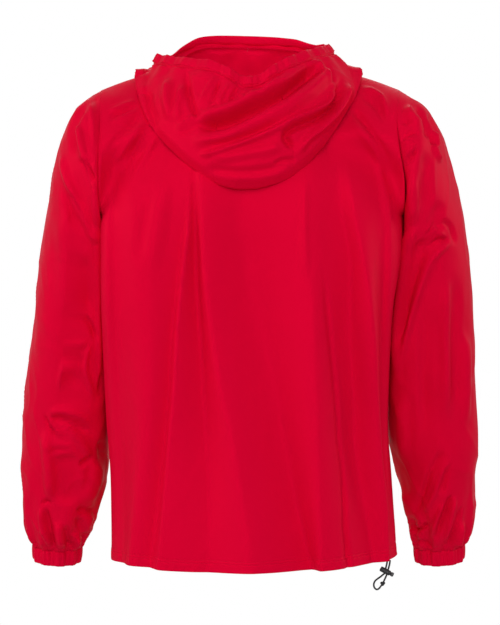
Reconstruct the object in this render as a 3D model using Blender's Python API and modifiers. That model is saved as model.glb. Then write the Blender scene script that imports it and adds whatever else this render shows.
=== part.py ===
"""Hooded anorak pullover in light woven cloth, filled out as worn, with its hood thrown back.

Metres, +Z up. The wearer faces -Y, so the back panel faces +Y and the wearer's left arm is at +X.
The origin is the middle of the neck opening, level with the tops of the shoulders.
The tables below are in millimetres, and a drop is measured down from the origin.
Run with: blender --background --python part.py
"""

import math
from collections import namedtuple

import bmesh
import bpy
import numpy as np
from mathutils import Matrix, Vector

MM = 0.001

# ---------------------------------------------------------------- driving sizes, in millimetres

CLOTH = 1.5  # wall of every cloth piece
SEAM_INSET = 0.5  # each panel stops this short of the seam line
RIDGE_INSET = 1.0  # the same on the shoulder seam, where both walls lean over it
CUFF_GAP = 1.2  # from a sleeve's gathered end to its cuff

ARM_TOP = 36.5  # drop of the shoulder tip
ARM_BOTTOM = 222.5  # drop of the underarm point
ARM_DEPTH = (94.0, 78.0)  # how far the armhole reaches behind the origin, and in front of it
ARM_SHARE = 0.34  # share of a panel's rows that lie beside the armhole
BACK_YOKE = 0.7  # on the back the shoulder's own shape dies out at this share of the armhole
CLOSING_START = 80.0  # between these two drops the body's section changes from a back and
CLOSING_END = 310.0  # a front that run on into the sleeves to one round tube
# The armhole's depth reaches far across a panel at the shoulder, and from HOLD_START down it keeps
# closer to its own seam.
SEAM_HOLD = (2.5, 10.0)
HOLD_START = 110.0
HOLD_FADE = 66.0  # drop over which the second hold takes over
UNDERARM_SOFTNESS = 8.0  # how near the seam the panel runs on smoothly past the underarm point

NECK_HALF = 102.0  # half the width of the neck opening
NECK_SIDE_DROP = 6.0
NECK_BACK = (80.0, 32.0)  # how far behind the origin the neckline runs, and its drop
NECK_FRONT = (92.0, 78.0)
SHOULDER_CROWN = 5.0  # how much the shoulder seam bows upwards

# How full each section is. At 1 a quarter of it is part of an ellipse, and below 1 it is squarer.
WIDTH_FULLNESS = 0.86
DEPTH_FULLNESS = (0.38, 0.80)  # under the arms, and at the hem
SLEEVE_FULLNESS = 0.94
BESIDE_FULLNESS = 0.45  # the sleeve's quarter that lies against the back
BESIDE_FADE = (0.50, 0.80)  # shares of the sleeve's length between which that quarter grows round
DEPTH_FADE = 300.0  # drop below the underarm over which the section takes the hem's fullness
YOKE_FADE = 220.0  # drop over which back and front lose the shoulders' flatness
YOKE_FLATNESS = (2.5, 6.0)  # how flat back and front run: at the shoulders, and under the arms
NECK_SCOOP = 1.5  # how quickly the neckline falls towards its middle

NECK_CLEARANCE = 1.2  # at the neckline the hood's cloth lies this far off the body's
UNDER_CLEARANCE = 5.3  # the hood's under layer lies this far off the shoulders and back
OVER_CLEARANCE = 9.5  # and its outer layer this far
CASING_WIDTH = 17.0  # hood drawcord casing
HOOD_SEAM_TURN = 25.0  # degrees from the middle of the back to each hood seam
CUFF_DEPTH = 25.0
SLEEVE_GATHERS = 11
GATHER_START = 0.74  # share of the sleeve's length where its pleats begin
GATHER_DEPTH = 3.2
CUFF_PLEAT = 1.8  # what is left of the pleats where the elastic holds them
CASING_GATHERS = 20
CASING_RIPPLE = 2.0
FOLD_TAPER = 0.3  # share of a fold's length over which it dies out at each end
CORD_RADIUS = 1.3
LOCK_RADIUS = 3.8
PLUNGER_RADIUS = 3.1
PLUNGER_LENGTH = 5.5
PLUNGER_GAP = 0.3
LOCK_ROUNDING = 0.8
KNOT_RADIUS = 3.9

# How finely each piece is divided.
BACK_COLUMNS, BACK_ROWS = 24, 30
FRONT_COLUMNS, FRONT_ROWS = 18, 24
SLEEVE_COLUMNS, SLEEVE_ROWS, GATHER_ROWS = 22, 18, 6
SIDE_COLUMNS, MIDDLE_COLUMNS, UNDER_ROWS, OVER_ROWS = 19, 8, 4, 7
CASING_COLUMNS = 80
FOLD_STEP = 40  # steps along a line of the hood from the neck to where the cloth doubles over

# The body, ring by ring: half widths to each side seam, and how far back and front stand out.
BodyRing = namedtuple("BodyRing", "drop left right back front")
BODY = [
    BodyRing(36.5, 214.6, 216.0, 82, 70),
    BodyRing(83.0, 214.6, 209.5, 106, 102),
    BodyRing(129.5, 214.6, 213.0, 121, 124),
    BodyRing(176.0, 214.6, 220.5, 130, 134),
    BodyRing(222.5, 214.6, 222.0, 134, 138),
    BodyRing(284.0, 213.2, 217.0, 134, 138),
    BodyRing(346.0, 212.2, 207.5, 132, 136),
    BodyRing(408.0, 211.0, 203.0, 130, 134),
    BodyRing(470.0, 210.0, 201.5, 128, 132),
    BodyRing(532.0, 207.5, 201.5, 126, 129),
    BodyRing(594.0, 203.5, 206.0, 125, 127),
    BodyRing(656.0, 202.0, 210.0, 124, 126),
    BodyRing(726.0, 201.5, 214.6, 122, 124),
]

# The hem's lower edge, from the right side seam to the left one.
HemPlace = namedtuple("HemPlace", "across drop")
HEM = [
    HemPlace(-1.0, 711.5),
    HemPlace(-0.6, 719.0),
    HemPlace(-0.2, 726.0),
    HemPlace(0.2, 728.0),
    HemPlace(0.6, 721.0),
    HemPlace(1.0, 719.0),
]

# The sleeves, ring by ring from the armhole to the cuff: where the outer and inner lines run,
# where the ring's middle lies from front to back, and half its depth. Outwards is positive.
SleeveRing = namedtuple("SleeveRing", "out out_drop inner inner_drop middle depth")
LEFT_SLEEVE = [
    SleeveRing(214.6, 36.5, 214.6, 222.5, 0, 78),
    SleeveRing(252.7, 64.0, 216.0, 229.0, 5, 92),
    SleeveRing(275.0, 106.0, 215.9, 237.0, 1, 93),
    SleeveRing(289.0, 154.0, 215.5, 250.0, -4.5, 90.5),
    SleeveRing(298.0, 208.0, 214.7, 270.0, -10, 87),
    SleeveRing(305.5, 257.0, 213.9, 300.0, -16, 83),
    SleeveRing(311.5, 312.0, 213.2, 336.0, -22.5, 78.5),
    SleeveRing(320.0, 385.0, 212.4, 395.0, -33, 74),
    SleeveRing(331.0, 478.0, 211.2, 478.0, -50, 70),
    SleeveRing(337.0, 556.0, 211.0, 556.0, -66, 67),
    SleeveRing(339.3, 612.0, 213.0, 607.0, -78, 62),
    SleeveRing(338.0, 657.0, 226.7, 657.0, -88, 55),
    SleeveRing(333.0, 688.0, 241.0, 690.0, -95, 46),
    SleeveRing(324.0, 707.0, 253.0, 710.0, -99, 35),
]
RIGHT_SLEEVE = [
    SleeveRing(216.0, 36.5, 222.0, 222.5, 0, 78),
    SleeveRing(255.6, 65.0, 223.2, 229.0, 5, 92),
    SleeveRing(277.0, 95.0, 222.6, 237.0, 1, 93),
    SleeveRing(291.0, 135.0, 221.3, 250.0, -4.5, 90.5),
    SleeveRing(304.0, 185.0, 219.3, 270.0, -10, 87),
    SleeveRing(315.0, 238.0, 215.9, 300.0, -16, 83),
    SleeveRing(323.5, 304.0, 210.1, 336.0, -22.5, 78.5),
    SleeveRing(329.5, 385.0, 205.2, 395.0, -33, 74),
    SleeveRing(334.2, 478.0, 204.0, 478.0, -50, 70),
    SleeveRing(337.8, 552.0, 206.8, 552.0, -66, 67),
    SleeveRing(338.2, 612.0, 224.5, 607.0, -78, 62),
    SleeveRing(334.5, 657.0, 235.5, 657.0, -88, 55),
    SleeveRing(328.5, 687.0, 242.0, 690.0, -95, 46),
    SleeveRing(320.0, 707.0, 247.0, 710.0, -99, 35),
]

# The hood, spoke by spoke round the neck. The turn is in degrees from the middle of the back,
# towards the wearer's left. The bag is the place where the thrown-back hood doubles over, the
# rim is the face opening, and the belly is how far the cloth between them stands out.
HoodSpoke = namedtuple("HoodSpoke", "turn bag_x bag_y bag_drop rim_x rim_y rim_drop belly")
HOOD = [
    HoodSpoke(-150, -76, -104, 8, -61, -86, -48.5, 3),
    HoodSpoke(-120, -124, -52, 4, -95, -60, -37, 2),
    HoodSpoke(-90, -160, 18, 23, -114, 2, -30, -5),
    HoodSpoke(-60, -136, 92, 79, -84, 60, -16, 10),
    HoodSpoke(-30, -71, 134, 163, -45, 98, 3, 20),
    HoodSpoke(0, -4, 141, 188, 0, 108, 28, 22),
    HoodSpoke(30, 60, 138, 174, 49, 98, 5, 20),
    HoodSpoke(60, 141, 98, 99, 100, 60, -5, 10),
    HoodSpoke(90, 166, 18, 27, 133, 8, -15, -5),
    HoodSpoke(120, 136, -46, 12, 117, -42, -19, 2),
    HoodSpoke(150, 86, -98, 12, 75.5, -82, -49.7, 3),
    HoodSpoke(180, 2, -114, 14, 4, -100, -54, 3),
]

# Folds: how far each stands out of the cloth (in where negative), its reach to each side, and
# the line that it follows, as places (x, drop).
Fold = namedtuple("Fold", "height reach line")
BACK_FOLDS = [
    Fold(7, 22, [(88, 160), (94, 240), (104, 350), (120, 525), (133, 715), (140, 800)]),
    Fold(-5, 20, [(84, 170), (86, 320), (88, 440), (92, 560), (98, 690), (100, 800)]),
    Fold(9, 42, [(79, 130), (69, 324), (56, 462), (38, 600), (35, 715), (34, 830)]),
    Fold(5, 34, [(-5, 280), (-50, 512), (-84, 660), (-100, 750)]),
    Fold(7, 26, [(-79, 130), (-79, 230), (-82, 340)]),
    Fold(-10, 24, [(-100, 270), (-117, 462), (-128, 549), (-136, 715), (-140, 800)]),
    Fold(8, 32, [(-126, 140), (-150, 324), (-163, 487), (-184, 660), (-196, 760)]),
    Fold(-7, 20, [(-130, 56), (-168, 96), (-206, 146)]),
    Fold(-6, 15, [(160, 56), (186, 82), (210, 118)]),
]
FRONT_FOLDS = [
    Fold(8, 36, [(-70, 150), (-82, 330), (-100, 520), (-108, 715)]),
    Fold(7, 32, [(84, 160), (98, 340), (118, 540), (128, 715)]),
    Fold(-7, 28, [(150, 230), (146, 380), (158, 560), (160, 715)]),
    Fold(-6, 28, [(-148, 250), (-140, 400), (-150, 600)]),
    Fold(5, 36, [(10, 260), (2, 420), (14, 640)]),
    Fold(-5, 30, [(-30, 110), (-10, 150), (24, 118)]),
]
LEFT_SLEEVE_FOLDS = [
    Fold(-7, 18, [(252, 62), (254, 100), (247, 145)]),
    Fold(-8, 24, [(276, 160), (252, 214), (244, 288)]),
    Fold(6, 26, [(292, 250), (282, 330), (292, 420)]),
    Fold(-7, 20, [(300, 430), (262, 470), (222, 470)]),
    Fold(6, 20, [(300, 470), (270, 520), (232, 520)]),
    Fold(-7, 24, [(305, 545), (268, 590), (240, 600)]),
    Fold(6, 22, [(318, 560), (300, 620), (296, 670)]),
]
RIGHT_SLEEVE_FOLDS = [
    Fold(7, 18, [(-208, 92), (-226, 84), (-244, 78)]),
    Fold(-7, 22, [(-262, 100), (-280, 122), (-284, 150)]),
    Fold(8, 26, [(-300, 262), (-262, 294), (-240, 345), (-226, 420)]),
    Fold(-9, 24, [(-276, 240), (-246, 225), (-224, 345), (-216, 430)]),
    Fold(6, 24, [(-305, 400), (-290, 470), (-300, 545)]),
    Fold(7, 20, [(-290, 560), (-268, 605), (-252, 640)]),
    Fold(-6, 18, [(-304, 600), (-284, 640), (-272, 670)]),
]
HOOD_FOLDS = [
    Fold(-12, 15, [(63, 96), (22, 84), (-12, 61), (-60, 26), (-100, 3)]),
    Fold(-9, 13, [(-118, 18), (-113, 62), (-96, 78), (-54, 96)]),
    Fold(8, 17, [(-106, 72), (-50, 92), (0, 112), (54, 132)]),
    Fold(8, 17, [(118, 20), (108, 62), (92, 104)]),
    Fold(-6, 12, [(92, 18), (84, 48), (72, 78)]),
    Fold(5, 16, [(55, 142), (0, 146), (-34, 136)]),
]

# The black drawcord: from the hem, through the lock, round a loop into its knot, and back.
CordPlace = namedtuple("CordPlace", "x y drop")
CORD_DOWN = [
    CordPlace(-201.2, 55.0, 716.9),
    CordPlace(-200.6, 55.3, 722.5),
    CordPlace(-198.7, 55.0, 729.75),
]
CORD_BACK = [
    CordPlace(-197.3, 55.5, 717.0),
    CordPlace(-196.3, 55.8, 722.5),
    CordPlace(-195.2, 55.3, 728.0),
]
LOOP_OUT = [
    CordPlace(-192.4, 55.0, 736.7),
    CordPlace(-187.0, 55.5, 741.3),
    CordPlace(-180.3, 56.3, 746.0),
    CordPlace(-177.6, 57.0, 752.0),
    CordPlace(-181.0, 57.0, 758.6),
    CordPlace(-187.9, 55.7, 754.2),
]
LOOP_BACK = [
    CordPlace(-195.9, 55.0, 738.5),
    CordPlace(-194.9, 55.0, 742.4),
    CordPlace(-192.7, 55.3, 746.6),
]
LOCK_ENDS = (CordPlace(-187.3, 55, 729.0), CordPlace(-206.0, 55, 738.6))
KNOT_MIDDLE = CordPlace(-190.6, 55.4, 750.6)

RED_CLOTH = ("red cloth", (0.60, 0.004, 0.026), 0.55, 0.0)
BLACK_CORD = ("black cord", (0.012, 0.012, 0.014), 0.8, 0.0)
BLACK_PLASTIC = ("black plastic", (0.015, 0.015, 0.017), 0.35, 0.0)


# ---------------------------------------------------------------- reading the tables


def read(rows, places):
    """Every column of a table, read smoothly at the given places in its first column."""
    table = np.array(rows, float)
    keys = table[:, 0]
    slopes = np.gradient(table, keys, axis=0)
    places = np.clip(np.asarray(places, float), keys[0], keys[-1])
    low = np.clip(np.searchsorted(keys, places, side="right") - 1, 0, len(keys) - 2)
    span = keys[low + 1] - keys[low]
    t = ((places - keys[low]) / span)[..., None]
    span = span[..., None]
    value = (2 * t**3 - 3 * t**2 + 1) * table[low] + (3 * t**2 - 2 * t**3) * table[low + 1]
    value += span * ((t**3 - 2 * t**2 + t) * slopes[low] + (t**3 - t**2) * slopes[low + 1])
    return type(rows[0])(*np.moveaxis(value, -1, 0))


def numbered(rows):
    """The same table with the share of its length, 0 to 1, put before each row."""
    kind = namedtuple("Numbered" + type(rows[0]).__name__, ("share",) + rows[0]._fields)
    return [kind(index / (len(rows) - 1), *row) for index, row in enumerate(rows)]


def all_round(rows):
    """A table keyed by degrees, carried on past both ends so that it closes on itself."""
    before = [row._replace(turn=row.turn - 360) for row in rows[-2:]]
    after = [row._replace(turn=row.turn + 360) for row in rows[:2]]
    return before + rows + after


def ease(t):
    """0 before 0, 1 after 1, and a smooth rise between."""
    t = np.clip(t, 0, 1)
    return t * t * (3 - 2 * t)


def mix(a, b, t):
    return a + (b - a) * t


def curve_through(points, count):
    """Evenly numbered places along a smooth curve through a few points."""
    points = np.array(points, float)
    keys = np.arange(len(points))
    table = [tuple([key, *point]) for key, point in zip(keys, points)]
    kind = namedtuple("Key", "at x y z")
    found = read([kind(*row) for row in table], np.linspace(0, len(points) - 1, count))
    return np.stack([found.x, found.y, found.z], -1)


# ---------------------------------------------------------------- folds


def fold_height(folds, x, drop):
    """How far the cloth stands out at each place, from all the folds that reach it."""
    height = np.zeros(np.shape(x))
    for fold in folds:
        nearest = np.full(np.shape(x), np.inf)
        along = np.zeros(np.shape(x))
        steps = len(fold.line) - 1
        for index in range(steps):
            (x0, d0), (x1, d1) = fold.line[index], fold.line[index + 1]
            length2 = (x1 - x0) ** 2 + (d1 - d0) ** 2
            t = np.clip(((x - x0) * (x1 - x0) + (drop - d0) * (d1 - d0)) / length2, 0, 1)
            away = np.hypot(x - mix(x0, x1, t), drop - mix(d0, d1, t))
            closer = away < nearest
            nearest = np.where(closer, away, nearest)
            along = np.where(closer, (index + t) / steps, along)
        crest = np.cos(np.clip(nearest / fold.reach, 0, 1) * math.pi / 2) ** 2
        taper = ease(along / FOLD_TAPER) * ease((1 - along) / FOLD_TAPER)
        height += fold.height * crest * taper
    return height


def outward(points):
    """Unit normals of a grid of points, from its neighbours."""
    down = np.gradient(points, axis=0)
    over = np.gradient(points, axis=1)
    normals = np.cross(over, down)
    return normals / np.linalg.norm(normals, axis=-1, keepdims=True)


# ---------------------------------------------------------------- the forms


def torso(across, down, face):
    """Places on the body. across runs from the right seam, -1, to the left one, 1; down from the
    neckline and shoulder, 0, to the hem, 1; face is 1 for the back and -1 for the front."""
    arm_middle = (ARM_TOP + ARM_BOTTOM) / 2
    arm_half = (ARM_BOTTOM - ARM_TOP) / 2
    swing = math.pi * np.clip(down / ARM_SHARE, 0, 1)
    below = np.clip((down - ARM_SHARE) / (1 - ARM_SHARE), 0, 1)
    hem_drop = read(HEM, across).drop
    drop = arm_middle - arm_half * np.cos(swing) + below * (hem_drop - ARM_BOTTOM)
    ring = read(BODY, drop)
    half = np.where(across > 0, ring.left, ring.right)
    depth = ring.back if face > 0 else ring.front
    seam_depth = ARM_DEPTH[0 if face > 0 else 1] * np.sin(swing)
    closing = ease((drop - CLOSING_START) / (CLOSING_END - CLOSING_START))
    quarter = across * math.pi / 2
    size = np.abs(across)
    width = mix(across, np.sign(across) * np.abs(np.sin(quarter)) ** WIDTH_FULLNESS, closing)
    fullness = mix(*DEPTH_FULLNESS, ease((drop - ARM_BOTTOM) / DEPTH_FADE))
    flatness = mix(*YOKE_FLATNESS, ease((drop - CLOSING_START) / YOKE_FADE))
    bow = mix(1 - size**flatness, np.abs(np.cos(quarter)) ** fullness, closing)
    x = half * width
    # The armhole's own depth reaches far across the panel at the shoulder and hardly at all at
    # the underarm.
    hold = mix(*SEAM_HOLD, ease((drop - HOLD_START) / HOLD_FADE))
    dying = np.abs(np.sin(swing)) ** np.clip(UNDERARM_SOFTNESS * (1 - size), 0, 1)
    y = depth * bow + seam_depth * size**hold * np.where(swing > math.pi / 2, dying, 1)
    # The top rows run up to the shoulder seam and round the neckline.
    neck_share = NECK_HALF / BODY[0].left
    neck_depth, neck_drop = NECK_BACK if face > 0 else NECK_FRONT
    on_shoulder = np.clip((size - neck_share) / (1 - neck_share), 0, 1)
    round_neck = np.clip(size / neck_share, 0, 1) * math.pi / 2
    top_half = np.where(across > 0, BODY[0].left, BODY[0].right)
    top_x = np.sign(across) * mix(NECK_HALF * np.sin(round_neck), top_half, on_shoulder)
    top_y = neck_depth * np.cos(round_neck)
    crown = SHOULDER_CROWN * np.sin(math.pi * on_shoulder)
    top_drop = mix(NECK_SIDE_DROP, ARM_TOP, on_shoulder) - crown
    top_drop = top_drop + (neck_drop - NECK_SIDE_DROP) * np.cos(round_neck) ** NECK_SCOOP
    start_y = (BODY[0].back if face > 0 else BODY[0].front) * (1 - size ** YOKE_FLATNESS[0])
    start_x = top_half * across
    fade = 1 - ease(down / (ARM_SHARE * (BACK_YOKE if face > 0 else 1)))
    x = x + (top_x - start_x) * fade
    y = y + (top_y - start_y) * fade
    drop = drop + (top_drop - ARM_TOP) * fade
    return np.stack([x, face * y, -drop], -1)


def torso_panel(face, columns, rows, folds):
    """The grid of one body panel with its folds, stopping short of its seams."""
    across = np.linspace(-1, 1, columns + 1)
    beside_arm = np.linspace(0, ARM_SHARE, rows // 3, endpoint=False)
    below_arm = np.linspace(ARM_SHARE, 1, rows - rows // 3 + 1)
    across, down = np.meshgrid(across, np.concatenate([beside_arm, below_arm]))
    points = torso(across, down, face)
    normals = outward(points) * face
    near_seam = ease((1 - np.abs(across)) / 0.12) * ease(down / 0.15)
    height = fold_height(folds, points[..., 0], -points[..., 2]) * near_seam
    points = points + normals * height[..., None]
    return drawn_in(points, top=True)


def drawn_in(points, top=False):
    """Moves the side columns, and the top row if asked, a little way into their own panel."""
    points = points.copy()
    for edge, next_in in ((0, 1), (-1, -2)):
        way = points[:, next_in] - points[:, edge]
        points[:, edge] += way / np.linalg.norm(way, axis=-1, keepdims=True) * SEAM_INSET
    if top:
        way = points[1] - points[0]
        points[0] += way / np.linalg.norm(way, axis=-1, keepdims=True) * RIDGE_INSET
    return points


def sleeve(rings, side, along, turn):
    """Places on a sleeve: along it from the armhole, 0, to the cuff, 1, and round it from its
    outer line, turn 0, by way of the back."""
    table = numbered(rings)
    ring = read(table, along)
    step = 0.01
    ahead = read(table, np.minimum(along + step, 1))
    behind = read(table, np.maximum(along - step, 0))
    fall = (ahead.out_drop + ahead.inner_drop - behind.out_drop - behind.inner_drop) / 2
    lean = np.arctan2(behind.middle - ahead.middle, np.maximum(fall, 1e-6))
    lean = lean * ease(along / 0.3)
    faded = ease((along - BESIDE_FADE[0]) / (BESIDE_FADE[1] - BESIDE_FADE[0]))
    beside = mix(BESIDE_FULLNESS, SLEEVE_FULLNESS, faded)
    fullness = np.where((np.cos(turn) < 0) & (np.sin(turn) > 0), beside, SLEEVE_FULLNESS)
    open_way = np.sign(np.cos(turn)) * np.abs(np.cos(turn)) ** fullness
    back_way = np.sign(np.sin(turn)) * np.abs(np.sin(turn)) ** fullness
    x = (ring.out + ring.inner) / 2 + (ring.out - ring.inner) / 2 * open_way
    drop = (ring.out_drop + ring.inner_drop) / 2 + (ring.out_drop - ring.inner_drop) / 2 * open_way
    y = ring.middle + ring.depth * back_way * np.cos(lean)
    drop = drop + ring.depth * back_way * np.sin(lean)
    points = np.stack([side * x, y, -drop], -1)
    # The first ring is the body's own armhole, and that shape dies out down the sleeve.
    first = rings[0]
    start_x = side * ((first.out + first.inner) / 2 + (first.out - first.inner) / 2 * open_way)
    start_drop = (ARM_TOP + ARM_BOTTOM) / 2 + (ARM_TOP - ARM_BOTTOM) / 2 * open_way
    start = np.stack([start_x, first.depth * back_way, -start_drop], -1)
    fade = 1 - ease(along / 0.14)
    return points + (armhole(side, turn) - start) * fade[..., None]


def armhole(side, turn):
    """The seam line where a sleeve meets the body, just outside the body's own edge."""
    swing = np.where(turn > math.pi, 2 * math.pi - turn, turn)
    down = swing / math.pi * ARM_SHARE
    across = np.full(np.shape(turn), float(side))
    on_back = torso(across, down, 1)
    on_front = torso(across, down, -1)
    edge = np.where((turn > math.pi)[..., None], on_front, on_back)
    return edge + np.array([side * SEAM_INSET, 0, 0])


def sleeve_grid(rings, side, folds, columns, along):
    turn = np.linspace(0, 2 * math.pi, columns, endpoint=False)
    turn, along = np.meshgrid(turn, along)
    points = sleeve(rings, side, along, turn)
    wrapped = np.concatenate([points[:, -1:], points, points[:, :1]], axis=1)
    normals = outward(wrapped)[:, 1:-1] * -side
    facing = ease((normals[..., 1] + 0.25) / 0.6)
    height = fold_height(folds, points[..., 0], -points[..., 2]) * facing
    # The hidden front of the sleeve has the same folds, lower down and shallower.
    height += 0.7 * fold_height(folds, points[..., 0], -points[..., 2] - 35) * (1 - facing)
    height *= ease(along / 0.12) * ease((1 - along) / 0.1)
    height += gathers(along, turn)
    # Beside the body the sleeve hangs nearly flat.
    inner_line = ease((-np.cos(turn) - 0.75) / 0.2) * ease((GATHER_START - along) / 0.1)
    height *= 1 - 0.85 * inner_line
    return points + normals * height[..., None]


def gathers(along, turn):
    """Soft pleats that deepen towards the cuff and die out above the forearm."""
    depth = GATHER_DEPTH * ease((along - GATHER_START) / 0.2)
    depth -= (GATHER_DEPTH - CUFF_PLEAT) * ease((along - 0.94) / 0.06)
    uneven = 1 + 0.35 * np.sin(3 * turn + 1.1)
    return depth * uneven * np.cos(SLEEVE_GATHERS * turn + 0.8 * np.sin(2 * turn))


def cuff_grid(rings, side, columns):
    """The elastic band below a sleeve, with the sleeve's gathers drawn tight."""
    turn = np.linspace(0, 2 * math.pi, columns, endpoint=False)
    end = sleeve(rings, side, np.ones(columns), turn)
    middle = end.mean(axis=0)
    away = end - middle
    across_x = away[np.argmax(away[:, 0])]
    across_y = away[np.argmax(away[:, 1])]
    axis = np.cross(across_x, across_y)
    axis *= -np.sign(axis[2]) / np.linalg.norm(axis)
    unit = away / np.linalg.norm(away, axis=-1, keepdims=True)
    pleat = gathers(np.ones(columns), turn)[:, None] * unit
    rows = []
    for share in (0.0, 0.5, 1.0):
        swell = 1 + 0.02 * math.sin(math.pi * share)
        shift = axis * (CUFF_GAP + share * CUFF_DEPTH)
        rows.append(middle + away * swell + pleat * (1 - 0.35 * share) + shift)
    return np.array(rows)


def body_samples():
    """Outer points and normals of both body panels, on a close grid."""
    across, down = np.meshgrid(np.linspace(-1, 1, 81), np.linspace(0, 0.6, 61))
    points = []
    normals = []
    for face in (1, -1):
        grid = torso(across, down, face)
        points.append(grid.reshape(-1, 3))
        normals.append((outward(grid) * face).reshape(-1, 3))
    return np.concatenate(points), np.concatenate(normals)


def off_the_body(points, clearances, samples):
    """Moves each point out along the body's nearest normal until it clears the body."""
    body, normals = samples
    moved = points.copy()
    for index, (point, clearance) in enumerate(zip(points, clearances)):
        nearest = np.argmin(((body - point) ** 2).sum(axis=1))
        height = (point - body[nearest]) @ normals[nearest]
        if height < clearance:
            moved[index] = point + normals[nearest] * (clearance - height)
    return moved


def neck_edge(turn):
    """The neckline, by degrees round it from the middle of the back."""
    angle = math.radians(turn)
    depth, drop = NECK_BACK if math.cos(angle) > 0 else NECK_FRONT
    fall = NECK_SIDE_DROP + (drop - NECK_SIDE_DROP) * abs(math.cos(angle)) ** NECK_SCOOP
    return np.array([NECK_HALF * math.sin(angle), depth * math.cos(angle), -fall])


def hood_spoke(turn, samples):
    """One line of the hood's cloth: from the neckline under the bag, then up to the rim. It comes
    as evenly spaced places, with the share of the line where the cloth doubles over."""
    spoke = read(all_round(HOOD), turn)
    angle = math.radians(turn)
    neck = neck_edge(turn)
    bag = np.array([spoke.bag_x, spoke.bag_y, -spoke.bag_drop])
    rim = np.array([spoke.rim_x, spoke.rim_y, -spoke.rim_drop])
    away = np.array([math.sin(angle), math.cos(angle), 0])
    over = mix(bag, rim, 0.45) + away * spoke.belly
    line = curve_through([neck, mix(neck, bag, 0.5), bag, over, rim], 2 * FOLD_STEP + 1)
    share = np.linspace(0, 1, 2 * FOLD_STEP + 1)
    lift = mix(NECK_CLEARANCE, UNDER_CLEARANCE, ease(share / 0.15))
    lift = mix(lift, OVER_CLEARANCE, ease((share - 0.35) / 0.2))
    line = off_the_body(line, lift, samples)
    run = np.concatenate([[0], np.cumsum(np.linalg.norm(np.diff(line, axis=0), axis=1))])
    return line, run, run[FOLD_STEP]


def along_line(line, run, places):
    return np.stack([np.interp(places, run, line[:, axis]) for axis in range(3)], -1)


def hood_grids(turns, samples):
    """The hood cloth and its rim casing at the given turns, as two grids of points."""
    cloth_rows = []
    casing_rows = []
    for turn in turns:
        line, run, fold = hood_spoke(turn, samples)
        seam = run[-1] - CASING_WIDTH
        under = np.linspace(0, fold, UNDER_ROWS, endpoint=False)
        over = np.linspace(fold, seam - RIDGE_INSET, OVER_ROWS + 1)
        cloth_rows.append(along_line(line, run, np.concatenate([under, over])))
        casing_rows.append(along_line(line, run, np.linspace(seam + SEAM_INSET, run[-1], 3)))
    return np.array(cloth_rows).swapaxes(0, 1), np.array(casing_rows).swapaxes(0, 1)


def hood_panels(samples):
    """The right, middle and left panels of the hood, with the folds of its outer layer."""
    side = np.linspace(HOOD_SEAM_TURN, 180, SIDE_COLUMNS + 1)
    middle = np.linspace(-HOOD_SEAM_TURN, HOOD_SEAM_TURN, MIDDLE_COLUMNS + 1)
    turns = np.concatenate([-side[::-1], middle[1:-1], side])
    points = hood_grids(turns, samples)[0]
    wrapped = np.concatenate([points[:, -2:-1], points, points[:, 1:2]], axis=1)
    normals = -outward(wrapped)[:, 1:-1]
    outer = ease((np.arange(len(points)) - UNDER_ROWS) / 2)
    outer[-2:] = 0.6, 0.0
    facing = ease((points[..., 1] - 10) / 30)
    height = fold_height(HOOD_FOLDS, points[..., 0], -points[..., 2]) * outer[:, None] * facing
    points = points + normals * height[..., None]
    first_seam = SIDE_COLUMNS
    second_seam = SIDE_COLUMNS + MIDDLE_COLUMNS
    spans = ((0, first_seam), (first_seam, second_seam), (second_seam, len(turns) - 1))
    return [drawn_in(points[:, first : last + 1]) for first, last in spans]


def casing_grid(columns, samples):
    """The drawcord casing round the hood's rim, gathered behind and at the sides."""
    turns = np.linspace(-180, 180, columns, endpoint=False)
    points = hood_grids(turns, samples)[1]
    wrapped = np.concatenate([points[:, -1:], points, points[:, :1]], axis=1)
    normals = -outward(wrapped)[:, 1:-1]
    gathered = ease((125 - np.abs(turns)) / 35)
    ripple = np.cos(np.radians(turns) * CASING_GATHERS) * (1 + 0.3 * np.sin(np.radians(turns) * 5))
    depth = CASING_RIPPLE * np.array([0.0, 1.0, 0.8])[:, None] * (gathered * ripple)[None, :]
    return points + normals * depth[..., None]


# ---------------------------------------------------------------- making the objects


def clear_scene():
    for item in list(bpy.data.objects):
        bpy.data.objects.remove(item, do_unlink=True)


def finish_of(recipe):
    """A plain material for one of the named finishes, made once."""
    name, colour, roughness, metallic = recipe
    material = bpy.data.materials.get(name) or bpy.data.materials.new(name)
    material.use_nodes = True
    shader = material.node_tree.nodes["Principled BSDF"]
    shader.inputs["Base Color"].default_value = (*colour, 1)
    shader.inputs["Roughness"].default_value = roughness
    shader.inputs["Metallic"].default_value = metallic
    return material


def place(item, group, recipe):
    group.objects.link(item)
    item.data.materials.append(finish_of(recipe))
    return item


def cloth(name, rows, group, outside=1, closed=False):
    """A cloth wall from rows of outer points. A row may have twice the points of the one above
    it. outside turns the wall round, and closed joins each row's ends."""
    mesh = bmesh.new()
    verts = [[mesh.verts.new(point * MM) for point in row] for row in rows]
    for upper, lower in zip(verts, verts[1:]):
        ratio = round(len(lower) / len(upper))
        for index in range(len(upper) - (0 if closed else 1)):
            top = [upper[index], upper[(index + 1) % len(upper)]]
            bottom = [lower[(index * ratio + step) % len(lower)] for step in range(ratio, -1, -1)]
            corners = top + bottom
            mesh.faces.new(corners if outside > 0 else corners[::-1])
    data = bpy.data.meshes.new(name)
    mesh.to_mesh(data)
    mesh.free()
    data.shade_smooth()
    item = place(bpy.data.objects.new(name, data), group, RED_CLOTH)
    wall = item.modifiers.new("wall", "SOLIDIFY")
    wall.thickness = CLOTH * MM
    wall.offset = -1
    wall.use_quality_normals = True
    return item


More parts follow.
